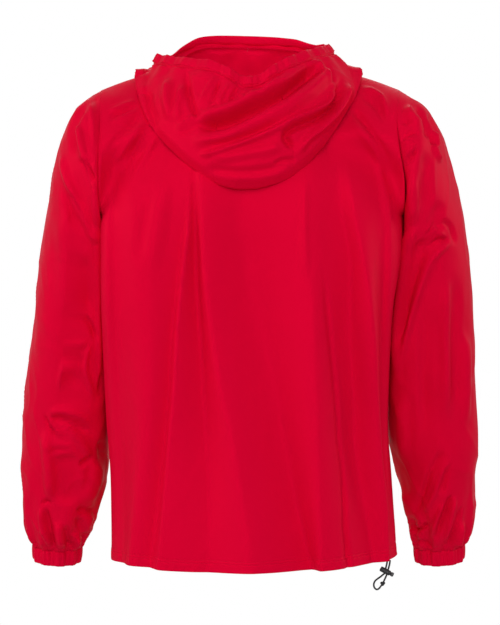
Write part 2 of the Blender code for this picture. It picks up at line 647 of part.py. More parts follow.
def cord(name, places, group):
    """A round cord along a smooth curve through its places."""
    points = curve_through([(stop.x, stop.y, -stop.drop) for stop in places], 3 * len(places) + 1)
    data = bpy.data.curves.new(name, "CURVE")
    data.dimensions = "3D"
    data.bevel_depth = CORD_RADIUS * MM
    data.bevel_resolution = 2
    data.use_fill_caps = True
    spline = data.splines.new("POLY")
    spline.points.add(len(points) - 1)
    for target, point in zip(spline.points, points):
        target.co = (*(point * MM), 1)
    return place(bpy.data.objects.new(name, data), group, BLACK_CORD)


def barrel(name, start, end, radius, group):
    """A short round bar between two places, with rounded ends."""
    start = Vector(start) * MM
    end = Vector(end) * MM
    way = end - start
    turned = way.to_track_quat("Z", "Y").to_matrix().to_4x4()
    mesh = bmesh.new()
    bmesh.ops.create_cone(
        mesh,
        cap_ends=True,
        segments=16,
        radius1=radius * MM,
        radius2=radius * MM,
        depth=way.length,
        matrix=Matrix.Translation((start + end) / 2) @ turned,
    )
    data = bpy.data.meshes.new(name)
    mesh.to_mesh(data)
    mesh.free()
    item = place(bpy.data.objects.new(name, data), group, BLACK_PLASTIC)
    edge = item.modifiers.new("rounded ends", "BEVEL")
    edge.width = LOCK_ROUNDING * MM
    edge.segments = 2
    edge.limit_method = "ANGLE"
    return item


def cord_lock(group):
    """The barrel lock and its push button, lying across the cord."""
    ends = [np.array([stop.x, stop.y, -stop.drop]) for stop in LOCK_ENDS]
    way = (ends[1] - ends[0]) / np.linalg.norm(ends[1] - ends[0])
    seat = ends[1] - way * PLUNGER_LENGTH
    barrel("cord_lock_barrel", ends[0], seat, LOCK_RADIUS, group)
    barrel("cord_lock_plunger", seat + way * PLUNGER_GAP, ends[1], PLUNGER_RADIUS, group)


def knot(group):
    """The tightened overhand knot, as one lumpy ball."""
    mesh = bmesh.new()
    bmesh.ops.create_uvsphere(mesh, u_segments=16, v_segments=10, radius=KNOT_RADIUS * MM)
    for vert in mesh.verts:
        angle = math.atan2(vert.co.y, vert.co.x)
        vert.co *= 1 + 0.07 * math.cos(3 * angle + vert.co.z / (KNOT_RADIUS * MM) * 2)
        vert.co.z *= 0.92
    data = bpy.data.meshes.new("cord_knot")
    mesh.to_mesh(data)
    mesh.free()
    data.shade_smooth()
    item = place(bpy.data.objects.new("cord_knot", data), group, BLACK_CORD)
    item.location = Vector((KNOT_MIDDLE.x, KNOT_MIDDLE.y, -KNOT_MIDDLE.drop)) * MM


def body(group):
    back = torso_panel(1, BACK_COLUMNS, BACK_ROWS, BACK_FOLDS)
    cloth("back_panel", back, group, outside=1)
    front = torso_panel(-1, FRONT_COLUMNS, FRONT_ROWS, FRONT_FOLDS)
    cloth("front_panel", front, group, outside=-1)


def arm(name, rings, side, folds, group):
    """A sleeve, with twice the columns where it gathers, and its cuff."""
    smooth = np.linspace(0, GATHER_START, SLEEVE_ROWS)
    gathered = np.linspace(GATHER_START + 0.04, 1, GATHER_ROWS)
    upper = sleeve_grid(rings, side, folds, SLEEVE_COLUMNS, smooth)
    lower = sleeve_grid(rings, side, folds, 2 * SLEEVE_COLUMNS, gathered)
    cloth("sleeve_" + name, list(upper) + list(lower), group, outside=-side, closed=True)
    cuff = cuff_grid(rings, side, 2 * SLEEVE_COLUMNS)
    cloth("cuff_" + name, cuff, group, outside=-side, closed=True)


def hood(group):
    samples = body_samples()
    for name, points in zip(("hood_right", "hood_centre", "hood_left"), hood_panels(samples)):
        cloth(name, points, group, outside=-1)
    cloth("hood_casing", casing_grid(CASING_COLUMNS, samples), group, outside=-1, closed=True)


def hem_cord(group):
    cord("hem_cord_down", CORD_DOWN, group)
    cord("hem_cord_back", CORD_BACK, group)
    cord("hem_cord_loop_out", LOOP_OUT, group)
    cord("hem_cord_loop_back", LOOP_BACK, group)
    cord_lock(group)
    knot(group)


def main():
    clear_scene()
    group = bpy.data.collections.new("anorak pullover")
    bpy.context.scene.collection.children.link(group)
    body(group)
    arm("left", LEFT_SLEEVE, 1, LEFT_SLEEVE_FOLDS, group)
    arm("right", RIGHT_SLEEVE, -1, RIGHT_SLEEVE_FOLDS, group)
    hood(group)
    hem_cord(group)


main()
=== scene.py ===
"""Looks of the anorak pullover: red woven cloth with its folds, gathers and stitching, and the
black drawcord at its hem with the lock and the knot.

The wearer faces -Y, so the back faces +Y and the wearer's left arm is at +X. The tables are in
millimetres. A drop is measured down from the middle of the neck opening, level with the shoulders.
"""

import math
from collections import namedtuple

import bpy
import numpy as np
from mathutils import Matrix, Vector
from mathutils.kdtree import KDTree


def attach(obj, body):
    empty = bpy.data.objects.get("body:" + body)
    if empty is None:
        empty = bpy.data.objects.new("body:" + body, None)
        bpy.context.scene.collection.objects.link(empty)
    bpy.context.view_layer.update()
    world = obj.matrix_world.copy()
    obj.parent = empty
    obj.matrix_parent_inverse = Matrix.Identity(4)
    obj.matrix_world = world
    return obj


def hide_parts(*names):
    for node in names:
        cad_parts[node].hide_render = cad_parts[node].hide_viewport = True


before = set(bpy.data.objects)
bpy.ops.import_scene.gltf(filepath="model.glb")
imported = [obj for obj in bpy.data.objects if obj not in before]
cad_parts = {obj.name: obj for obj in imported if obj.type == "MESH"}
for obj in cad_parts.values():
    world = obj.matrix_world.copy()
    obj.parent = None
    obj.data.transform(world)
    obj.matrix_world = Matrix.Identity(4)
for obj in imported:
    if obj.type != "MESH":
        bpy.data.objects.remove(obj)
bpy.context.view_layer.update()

MM = 0.001

# ---------------------------------------------------------------- sizes, in millimetres

WALL = 0.5  # the cloth
SEAM_GAP = 0.12  # each panel stops this short of its seam line
HOOD_SEAM_GAP = 0.02
TURN_IN = 5.0  # depth of the seam allowance behind each edge
ARMHOLE_TURN_IN = 4.0
ALLOWANCE_LEAN = 2.0  # both allowances of a side seam slope this way, so that nothing shows between
HEM_DEPTH = 16.0  # of the turned-up hem
HEM_STEP = 0.00133  # share of a panel's length between the rows of its hem
HEM_ROWS = 22
HEM_RISE = 0.6  # how far its doubled band stands out
PUCKER_DEPTH = 0.35
PUCKER_LENGTH = 9.0
HEM_STITCH_LINES = (16.0, 12.5)  # distances above the hem's edge
CASING_STITCH_LINES = (1.6,)
CUFF_STITCH_LINES = (3.0,)
STITCH_PITCH = 3.0
STITCH_LENGTH = 2.2
STITCH_WIDTH = 0.55

# Grooves, each as its depth and its reach to each side.
SEAM_SINK = (0.9, 2.2)
HOOD_SEAM_SINK = (0.3, 1.4)
CASING_SEAM_SINK = (0.8, 2.0)
HEM_STITCH_SINK = (0.55, 1.1)
CUFF_STITCH_SINK = (0.8, 1.3)
CASING_STITCH_SINK = (0.25, 1.2)

# How an edge is turned under, as rows (inward, back from the edge).
HEM_UNDER = ((0.9, -0.4), (1.9, 0.3), (2.3, 3.0), (2.3, 9.0), (2.2, HEM_DEPTH))
CUFF_UNDER = ((1.0, -0.3), (1.9, 0.6), (2.3, 6.0), (2.3, 14.0))
CASING_UNDER = ((0.8, -0.3), (1.8, 0.4), (2.6, 4.0), (2.8, 9.0), (2.2, 14.5))

# The body. Its sections are rounded by powers called fullness: 1 gives an ellipse, less a fuller
# corner. Beside the arm a place is given by its swing, from 0 at the armhole's top to pi below.
ARM_TOP = 36.5
ARM_BOTTOM = 222.5
ARM_SHARE = 0.34  # share of a panel, from shoulder to hem, that lies beside the arm
ARM_DEPTH = (94.0, 78.0)  # of the armhole, to the back and to the front
BACK_YOKE = 0.7  # share of the armhole over which the back's neckline and shoulder die out
YOKE_FLATNESS = (2.5, 6.0)
YOKE_FADE = 220.0
CLOSING_START = 80.0  # below this the open yoke closes to a tube
CLOSING_END = 310.0
BACK_CLOSING_END = 250.0
WIDTH_FULLNESS = 0.86
DEPTH_FULLNESS = (0.38, 0.80)  # at the underarm, and lower down
DEPTH_FADE = 300.0
SEAM_HOLD = (2.5, 10.0)  # how soon the armhole's depth dies out across a panel, high up and low down
HOLD_START = 110.0
HOLD_FADE = 66.0
UNDERARM_SOFTNESS = 8.0
# The back's corners beside the arms are fuller: each pair is for the armhole and the underarm.
LEFT_FULLNESS = (0.22, 0.12)
RIGHT_FULLNESS = (0.38, 0.26)
UNDER_FROM = 155.0  # the drop where the underarm's values start to come in
CLOSE_TO = 320.0  # the drop where they start to die out
CLOSE_ARC = 0.55  # fullness of the left armhole's lower half
LEVEL_EDGE = 0.015  # share of the back's half width that lies level beside the left armhole
LEVEL_SWING = (1.2, 0.5)  # where that starts and how far it takes to grow
LEVEL_END = 0.2  # how far before the underarm it starts to die out

NECK_HALF = 102.0
NECK_SIDE_DROP = 6.0
NECK_BACK = (80.0, 32.0)  # depth and drop of the neckline's middle
NECK_FRONT = (92.0, 78.0)
NECK_SCOOP = 1.5
SHOULDER_CROWN = 5.0

SLEEVE_FULLNESS = 0.94
BESIDE_FULLNESS = 0.45  # of the right sleeve where it lies beside the body
CLOSE_FULLNESS = 0.22  # of the left one, which lies closer
BESIDE_FADE = (0.50, 0.80)  # shares of the sleeve between which that dies out
ARMHOLE_FADE = 0.14  # share of the sleeve over which the armhole's shape dies out
UNDERARM_FULL = 3.2  # the sleeve's spare cloth that lies against the body's side
SLEEVE_GATHERS = 11
GATHER_START = 0.74
GATHER_DEPTH = 3.2
CUFF_PLEAT = 1.8
FINE_GATHERS = 27
FINE_GATHER_DEPTH = 0.9
CUFF_DEPTH = 26.0
CUFF_TUCK = 1.0  # how far the top of a cuff reaches up inside the sleeve's end
CUFF_RIBS = 34
CUFF_RIB_DEPTH = 0.75
CUFF_ROWS = 27

NECK_CLEARANCE = 1.2  # of the hood's cloth from the body, at the neck, under the bag and over it
UNDER_CLEARANCE = 5.3
OVER_CLEARANCE = 9.5
HOOD_STEPS = 40  # places on each half of a spoke
HOOD_SEAM_TURN = 25.0  # degrees from the middle of the back to each hood seam
HOOD_CURL = 8.0  # how far the bag's lower edge curls in
HOOD_CURL_REACH = 20.0
NECK_TURN_IN = (1.6, 6.0)  # inward and down
CASING_WIDTH = 17.0
CASING_GATHERS = 20
CASING_RIPPLE = 2.0
CASING_PLEAT = 2.3  # depth of the pleats that the casing draws into the hood
CASING_PLEAT_REACH = 20.0
CASING_ROWS = 14

FOLD_TAPER = 0.3  # share of a fold's length over which each end dies out, up to the next
LONGEST_TAPER = 60.0
HOOD_TAPER = 24.0
CREST_DEPTH = 3.4  # these five are what a height of 1 in the tables below comes to
FOLD_DEPTH = 1.5
SLEEVE_FOLD_DEPTH = 2.4
FRONT_FOLD_DEPTH = 0.8  # on the hidden front of a sleeve
HOOD_FOLD_DEPTH = 1.6
DEEPEST_FOLD = 8.5  # the folds of a sleeve come ever nearer to this, and never pass it
DEEPEST_HOOD_FOLD = 26.0
FRONT_DROP = 35.0  # how much lower a sleeve's folds lie on its front

CORD_RADIUS = 1.3
CORD_MAP_WIDTH = 0.008  # metres round the cord
CORD_STEP = 0.4  # between the rings of its tube
BRAID_STRANDS = 6  # that wind each way round
BRAID_PITCH = 3.2
BRAID_DEPTH = 0.06

BodyRing = namedtuple("BodyRing", "drop left right back front")
BODY = [
    BodyRing(36.5, 214.6, 216.0, 82, 70),
    BodyRing(83.0, 214.6, 209.5, 106, 102),
    BodyRing(129.5, 214.6, 213.0, 121, 124),
    BodyRing(176.0, 214.6, 220.5, 130, 134),
    BodyRing(222.5, 214.6, 222.0, 134, 138),
    BodyRing(284.0, 213.2, 217.0, 134, 138),
    BodyRing(346.0, 212.2, 207.5, 132, 136),
    BodyRing(408.0, 211.0, 203.0, 130, 134),
    BodyRing(470.0, 210.0, 201.5, 128, 132),
    BodyRing(532.0, 207.5, 201.5, 126, 129),
    BodyRing(594.0, 203.5, 206.0, 125, 127),
    BodyRing(656.0, 202.0, 210.0, 124, 126),
    BodyRing(726.0, 201.5, 214.6, 122, 124),
]

HemPlace = namedtuple("HemPlace", "across drop")
HEM = [
    HemPlace(-1.0, 711.5),
    HemPlace(-0.6, 719.0),
    HemPlace(-0.2, 726.0),
    HemPlace(0.2, 728.0),
    HemPlace(0.6, 721.0),
    HemPlace(1.0, 719.0),
]

SleeveRing = namedtuple("SleeveRing", "out out_drop inner inner_drop middle depth")
LEFT_SLEEVE = [
    SleeveRing(214.6, 36.5, 214.6, 222.5, 0, 78),
    SleeveRing(252.7, 64.0, 216.0, 229.0, 5, 92),
    SleeveRing(275.0, 106.0, 215.9, 237.0, 1, 93),
    SleeveRing(289.0, 154.0, 215.5, 250.0, -4.5, 90.5),
    SleeveRing(298.0, 208.0, 214.7, 270.0, -10, 87),
    SleeveRing(305.5, 257.0, 213.9, 300.0, -16, 83),
    SleeveRing(311.5, 312.0, 213.2, 336.0, -22.5, 78.5),
    SleeveRing(320.0, 385.0, 212.4, 395.0, -33, 74),
    SleeveRing(331.0, 478.0, 211.2, 478.0, -50, 70),
    SleeveRing(337.0, 556.0, 211.0, 556.0, -66, 67),
    SleeveRing(339.3, 612.0, 213.0, 607.0, -78, 62),
    SleeveRing(338.0, 657.0, 226.7, 657.0, -88, 55),
    SleeveRing(333.0, 688.0, 241.0, 690.0, -95, 46),
    SleeveRing(324.0, 707.0, 253.0, 710.0, -99, 35),
]
RIGHT_SLEEVE = [
    SleeveRing(216.0, 36.5, 222.0, 222.5, 0, 78),
    SleeveRing(255.6, 65.0, 223.2, 229.0, 5, 92),
    SleeveRing(277.0, 95.0, 222.6, 237.0, 1, 93),
    SleeveRing(291.0, 135.0, 221.3, 250.0, -4.5, 90.5),
    SleeveRing(304.0, 185.0, 219.3, 270.0, -10, 87),
    SleeveRing(315.0, 238.0, 215.9, 300.0, -16, 83),
    SleeveRing(323.5, 304.0, 210.1, 336.0, -22.5, 78.5),
    SleeveRing(329.5, 385.0, 205.2, 395.0, -33, 74),
    SleeveRing(334.2, 478.0, 204.0, 478.0, -50, 70),
    SleeveRing(337.8, 552.0, 206.8, 552.0, -66, 67),
    SleeveRing(338.2, 612.0, 224.5, 607.0, -78, 62),
    SleeveRing(334.5, 657.0, 235.5, 657.0, -88, 55),
    SleeveRing(328.5, 687.0, 242.0, 690.0, -95, 46),
    SleeveRing(320.0, 707.0, 247.0, 710.0, -99, 35),
]

HoodSpoke = namedtuple("HoodSpoke", "turn bag_x bag_y bag_drop rim_x rim_y rim_drop belly")
HOOD = [
    HoodSpoke(-150, -76, -104, 8, -61, -86, -48.5, 3),
    HoodSpoke(-120, -124, -52, 4, -95, -60, -37, 2),
    HoodSpoke(-90, -160, 18, 23, -114, 2, -30, -5),
    HoodSpoke(-60, -136, 92, 79, -84, 60, -16, 10),
    HoodSpoke(-30, -71, 134, 163, -45, 98, 3, 20),
    HoodSpoke(0, -4, 141, 188, 0, 108, 28, 22),
    HoodSpoke(30, 60, 138, 174, 49, 98, 5, 20),
    HoodSpoke(60, 141, 98, 99, 100, 60, -5, 10),
    HoodSpoke(90, 166, 18, 27, 133, 8, -15, -5),
    HoodSpoke(120, 136, -46, 12, 117, -42, -19, 2),
    HoodSpoke(150, 86, -98, 12, 75.5, -82, -49.7, 3),
    HoodSpoke(180, 2, -114, 14, 4, -100, -54, 3),
]

# Folds: how far each stands out (in where negative), its reach to each side, how keen its crest
# is from 0, round, to 1, creased, and the line that it follows, as places (x, drop) in the whole
# garment.
Fold = namedtuple("Fold", "height reach keen line")
BACK_FOLDS = [
    Fold(-3.5, 7, 0.8, [
        (-101, 290), (-108, 358), (-114, 414), (-121, 484), (-125, 541),
        (-131, 580), (-134, 625), (-134, 667), (-138, 709), (-141, 766),
    ]),
    Fold(-2.5, 9, 0.4, [(-132, 583), (-134, 625), (-134, 667), (-138, 709), (-141, 766)]),
    Fold(2.5, 10, 0.3, [(-76, 164), (-75, 245), (-77, 330)]),
    Fold(2.2, 7, 0.4, [(160, 57), (183, 67), (205, 77)]),
    Fold(-2.5, 7, 0.4, [(160, 64), (183, 75), (205, 86)]),
    Fold(2.2, 7, 0.4, [(156, 70), (177, 82), (197, 93)]),
    Fold(-3.0, 8, 0.4, [(153, 78), (177, 102), (203, 130)]),
    Fold(2.8, 9, 0.3, [(145, 86), (172, 119), (194, 154)]),
    Fold(-2.4, 8, 0.4, [(141, 96), (160, 124), (180, 164)]),
    Fold(2.4, 9, 0.2, [(129, 105), (146, 136), (165, 178)]),
    Fold(-4.5, 8, 0.7, [(-142, 68), (-158, 84), (-176, 109), (-201, 151)]),
    Fold(3.0, 12, 0.2, [(-139, 85), (-158, 105), (-177, 130), (-201, 172)]),
    Fold(4.5, 8, 0.5, [(-156, 36), (-179, 44), (-193, 60), (-198, 88)]),
    Fold(-3.0, 8, 0.4, [(-158, 51), (-174, 60), (-186, 74), (-193, 93)]),
    Fold(2.2, 10, 0.3, [(-176, 133), (-190, 182), (-198, 252)]),
    Fold(-2.2, 14, 0.1, [(141, 189), (149, 245), (158, 302)]),
    Fold(2.0, 18, 0.0, [(120, 161), (127, 231), (141, 316)]),
]
# Long folds that run down a panel: the cloth rises and falls smoothly from each line of this
# table to the next. keen is how creased a line is, 0 to 1; its places are (x, drop, height).
Crest = namedtuple("Crest", "keen places")
CrestPlace = namedtuple("CrestPlace", "drop x height")  # one such place, with the drop to read by
BACK_CRESTS = [
    Crest(0, [(-200, 133, 0), (-198, 766, 0)]),
    Crest(0, [(-190, 147, 0), (-191, 273, -1.5), (-193, 386, -2.5), (-193, 555, -2), (-200, 731, -1)]),
    Crest(0.3, [
        (-135, 133, 0), (-145, 217, 2), (-158, 288, 3), (-169, 386, 4),
        (-173, 484, 4), (-177, 555, 4), (-188, 639, 3.5), (-195, 731, 2),
    ]),
    Crest(0.2, [
        (-118, 133, 0), (-129, 217, -1.5), (-141, 288, -2.5), (-142, 386, -3.5),
        (-152, 484, -4), (-156, 555, -4), (-169, 639, -3.5), (-183, 731, -2.5),
    ]),
    Crest(0.2, [
        (-79, 133, 0), (-79, 203, 2), (-82, 288, 3), (-87, 372, 4.2),
        (-91, 484, 5), (-93, 555, 5), (-94, 625, 4.5), (-98, 731, 3.5),
    ]),
    Crest(0.2, [
        (17, 133, 0), (11, 203, -1.5), (3, 273, -3), (-6, 344, -4), (-23, 414, -4.5),
        (-37, 484, -5), (-48, 541, -5), (-63, 611, -5), (-79, 681, -4.5), (-93, 731, -4),
    ]),
    Crest(0.6, [
        (72, 133, 0), (69, 203, 2), (63, 316, 3), (56, 372, 3.2), (52, 400, 3.4),
        (38, 484, 3.8), (25, 541, 4), (17, 597, 4), (4, 681, 4), (-1, 731, 4),
    ]),
    Crest(0.6, [
        (79, 133, 0), (77, 203, -1), (75, 316, -2.5), (72, 372, -3), (70, 400, -3),
        (66, 484, -3.2), (63, 541, -3.4), (59, 611, -3.4), (59, 681, -3), (60, 731, -3),
    ]),
    Crest(0.9, [
        (84, 133, 0), (86, 203, 0.5), (87, 243, 2), (96, 316, 3), (102, 386, 3.2),
        (107, 484, 3.4), (113, 555, 3.4), (117, 611, 3.2), (122, 667, 3), (127, 731, 2.6),
    ]),
    Crest(0.9, [
        (87, 133, 0), (89, 203, 0), (93, 243, -0.5), (101, 316, -0.5), (108, 386, -0.5),
        (115, 484, -0.6), (122, 555, -0.8), (129, 611, -1), (135, 667, -1), (145, 731, -1),
    ]),
    Crest(0, [
        (172, 133, 0), (160, 203, 1.5), (153, 273, 2.5), (143, 372, 3.2),
        (141, 456, 3.4), (145, 541, 3.2), (153, 625, 3), (167, 731, 2.4),
    ]),
    Crest(0, [(194, 133, 0), (193, 273, -1), (190, 414, -1.5), (187, 555, -1.5), (186, 731, -1)]),
    Crest(0, [(203, 133, 0), (200, 766, 0)]),
]
FRONT_FOLDS = [
    Fold(5.5, 30, 0.1, [(-70, 150), (-82, 330), (-100, 520), (-108, 715)]),
    Fold(4.8, 27, 0.1, [(84, 160), (98, 340), (118, 540), (128, 715)]),
    Fold(-4.8, 24, 0.2, [(150, 230), (146, 380), (158, 560), (160, 715)]),
    Fold(-4.2, 24, 0.2, [(-148, 250), (-140, 400), (-150, 600)]),
    Fold(3.5, 30, 0.1, [(10, 260), (2, 420), (14, 640)]),
    Fold(-2.5, 8, 0.6, [(-92, 240), (-108, 430), (-126, 600), (-132, 740)]),
    Fold(2.2, 9, 0.5, [(112, 250), (122, 400), (142, 580), (148, 740)]),
    Fold(-2.2, 10, 0.4, [(46, 300), (40, 450), (52, 640), (50, 740)]),
    Fold(2.2, 8, 0.5, [(-40, 330), (-52, 500), (-60, 740)]),
    Fold(-2.4, 9, 0.4, [(-176, 300), (-182, 450), (-178, 640)]),
    Fold(-5, 18, 0.4, [(-66, 96), (-30, 150), (10, 166), (52, 148)]),
    Fold(4, 14, 0.3, [(-84, 118), (-40, 178), (14, 192), (72, 158)]),
    Fold(-4, 14, 0.5, [(-80, 136), (-30, 206), (40, 214), (92, 160)]),
    Fold(-5, 11, 0.5, [(138, 60), (166, 100), (202, 150)]),
    Fold(4, 10, 0.4, [(146, 52), (176, 84), (206, 124)]),
    Fold(-4, 9, 0.5, [(150, 84), (172, 122), (200, 180)]),
    Fold(-5, 11, 0.5, [(-140, 60), (-170, 104), (-204, 150)]),
    Fold(4, 10, 0.4, [(-150, 52), (-180, 88), (-206, 128)]),
    Fold(-4, 9, 0.5, [(-150, 90), (-176, 130), (-204, 186)]),
]
LEFT_SLEEVE_FOLDS = [
    Fold(2.2, 5, 0.4, [(220, 130), (219, 230), (218, 330), (219, 420), (222, 470)]),
    Fold(-6.5, 9, 0.5, [(231, 58), (244, 75), (252, 93), (252, 115), (247, 143)]),
    Fold(-4, 7, 0.5, [(224, 54), (216, 59), (213, 69)]),
    Fold(4.5, 10, 0.3, [(229, 58), (223, 79), (220, 103), (219, 129)]),
    Fold(4.5, 7, 0.5, [(246, 89), (240, 119), (233, 145)]),
    Fold(-4.5, 6, 0.7, [(243, 146), (228, 159), (219, 175), (216, 190)]),
    Fold(2.5, 6, 0.5, [(245, 140), (232, 143), (225, 152)]),
    Fold(4, 8, 0.5, [(270, 129), (262, 163), (251, 189), (238, 203)]),
    Fold(-3.5, 7, 0.6, [(268, 176), (256, 217), (247, 250), (241, 279)]),
    Fold(3, 9, 0.3, [(241, 207), (229, 240), (218, 266)]),
    Fold(-3, 16, 0.1, [(240, 272), (233, 322), (232, 375)]),
    Fold(3, 22, 0, [(269, 207), (261, 286), (265, 372)]),
    Fold(-4.5, 6, 0.6, [(239, 364), (229, 381), (221, 401)]),
    Fold(3.5, 6, 0.7, [(230, 400), (249, 411), (265, 430), (274, 453), (277, 477)]),
    Fold(-3, 12, 0.2, [(240, 418), (252, 442), (255, 474)]),
    Fold(3.5, 6, 0.6, [(228, 405), (236, 423), (238, 445), (232, 468), (224, 488)]),
    Fold(-3, 7, 0.3, [(216, 445), (216, 467), (219, 484)]),
    Fold(5, 6, 0.8, [(297, 512), (279, 505), (255, 510), (229, 522)]),
    Fold(-5, 8, 0.6, [(291, 516), (274, 516), (252, 528), (224, 538)]),
    Fold(-3.5, 5, 0.7, [(304, 510), (294, 527), (280, 544)]),
    Fold(3, 5, 0.6, [(295, 513), (286, 530), (270, 544)]),
    Fold(3, 9, 0.4, [(281, 515), (251, 544), (230, 580)]),
    Fold(-3.5, 5, 0.6, [(296, 564), (280, 561), (260, 562)]),
    Fold(-8, 24, 0.1, [(275, 565), (268, 598), (271, 649)]),
    Fold(-4, 7, 0.4, [(252, 584), (241, 579), (231, 570)]),
    Fold(5, 12, 0.3, [(300, 530), (298, 565), (295, 607), (296, 640)]),
    Fold(7, 13, 0.3, [(224, 577), (230, 607), (244, 645)]),
    Fold(-4, 9, 0.4, [(220, 547), (215, 580)]),
    Fold(-3, 4, 0.6, [(310, 645), (300, 640), (291, 645)]),
    Fold(-6, 6, 0.7, [(302, 649), (297, 680), (286, 717)]),
    Fold(4.5, 6, 0.5, [(309, 645), (306, 678), (294, 712)]),
    Fold(4.5, 9, 0.3, [(283, 668), (283, 688), (280, 712)]),
    Fold(-5, 6, 0.6, [(272, 671), (271, 695), (270, 717)]),
    Fold(-5, 8, 0.4, [(256, 648), (244, 654), (230, 652)]),
    Fold(-4, 7, 0.4, [(256, 660), (250, 683), (249, 706)]),
    Fold(4, 6, 0.4, [(262, 686), (259, 700), (261, 715)]),
    Fold(3.5, 8, 0.3, [(233, 658), (239, 674), (244, 695)]),
]
RIGHT_SLEEVE_FOLDS = [
    Fold(-6, 8, 0.5, [(-237, 62), (-247, 82), (-254, 102), (-246, 110)]),
    Fold(-4, 7, 0.5, [(-256, 73), (-266, 92), (-272, 106)]),
    Fold(5, 11, 0.3, [(-219, 66), (-230, 82), (-243, 101)]),
    Fold(-2.6, 5, 0.6, [(-210, 93), (-223, 91), (-234, 85)]),
    Fold(-3, 5, 0.6, [(-212, 116), (-224, 109), (-239, 103)]),
    Fold(2.6, 5, 0.5, [(-213, 128), (-224, 119), (-237, 112)]),
    Fold(2.6, 5, 0.5, [(-213, 145), (-225, 135), (-237, 123)]),
    Fold(-3.6, 5, 0.7, [(-212, 155), (-225, 145), (-239, 128)]),
    Fold(-4, 5, 0.6, [(-257, 99), (-260, 112), (-262, 126)]),
    Fold(3.5, 5, 0.6, [(-264, 98), (-267, 115), (-270, 129)]),
    Fold(3.5, 6, 0.6, [(-260, 118), (-266, 132), (-275, 147)]),
    Fold(2.6, 10, 0.2, [(-230, 165), (-232, 200), (-231, 240)]),
    Fold(-2.4, 14, 0.1, [(-249, 129), (-250, 172), (-249, 222)]),
    Fold(-2.5, 16, 0.1, [(-272, 200), (-266, 229), (-275, 246)]),
    Fold(4, 10, 0.4, [(-241, 237), (-228, 257), (-218, 297), (-212, 351), (-211, 416), (-216, 467)]),
    Fold(2.6, 6, 0.5, [(-245, 240), (-261, 242), (-282, 256)]),
    Fold(-3.5, 5, 0.6, [(-285, 260), (-270, 257), (-257, 265)]),
    Fold(-9, 14, 0.3, [(-264, 260), (-245, 269), (-236, 300), (-226, 340), (-219, 379), (-215, 418)]),
    Fold(5.5, 9, 0.5, [
        (-294, 257), (-274, 269), (-258, 286), (-247, 312), (-235, 352), (-224, 398), (-217, 445),
    ]),
    Fold(-2.5, 6, 0.3, [(-272, 229), (-289, 240), (-295, 266)]),
    Fold(3, 12, 0.1, [(-280, 307), (-283, 401), (-283, 525)]),
    Fold(-3, 14, 0.1, [(-295, 300), (-297, 401), (-300, 533)]),
    Fold(-2.6, 12, 0.1, [(-252, 343), (-252, 445), (-254, 540)]),
    Fold(3.5, 10, 0.2, [(-312, 387), (-315, 459), (-315, 533)]),
    Fold(3, 14, 0.2, [(-218, 474), (-221, 533), (-227, 592)]),
    Fold(-3.5, 7, 0.6, [(-285, 559), (-272, 579), (-261, 607), (-251, 637), (-243, 668)]),
    Fold(3, 7, 0.4, [(-292, 570), (-280, 599), (-268, 633), (-256, 660)]),
    Fold(-2.6, 8, 0.3, [(-288, 580), (-284, 607), (-278, 630)]),
    Fold(3, 6, 0.5, [(-288, 637), (-277, 661), (-267, 698)]),
    Fold(-6.5, 6, 0.6, [(-297, 628), (-286, 657), (-274, 700)]),
    Fold(6, 6, 0.5, [(-303, 631), (-296, 664), (-288, 706)]),
    Fold(-5.5, 6, 0.6, [(-313, 645), (-304, 680), (-292, 715)]),
    Fold(3.5, 6, 0.4, [(-317, 668), (-311, 691), (-307, 714)]),
    Fold(-4.5, 5, 0.6, [(-236, 677), (-250, 684), (-264, 671)]),
    Fold(-4, 5, 0.6, [(-249, 695), (-261, 706), (-273, 714)]),
    Fold(3.5, 10, 0.3, [(-231, 622), (-237, 649), (-245, 671)]),
]
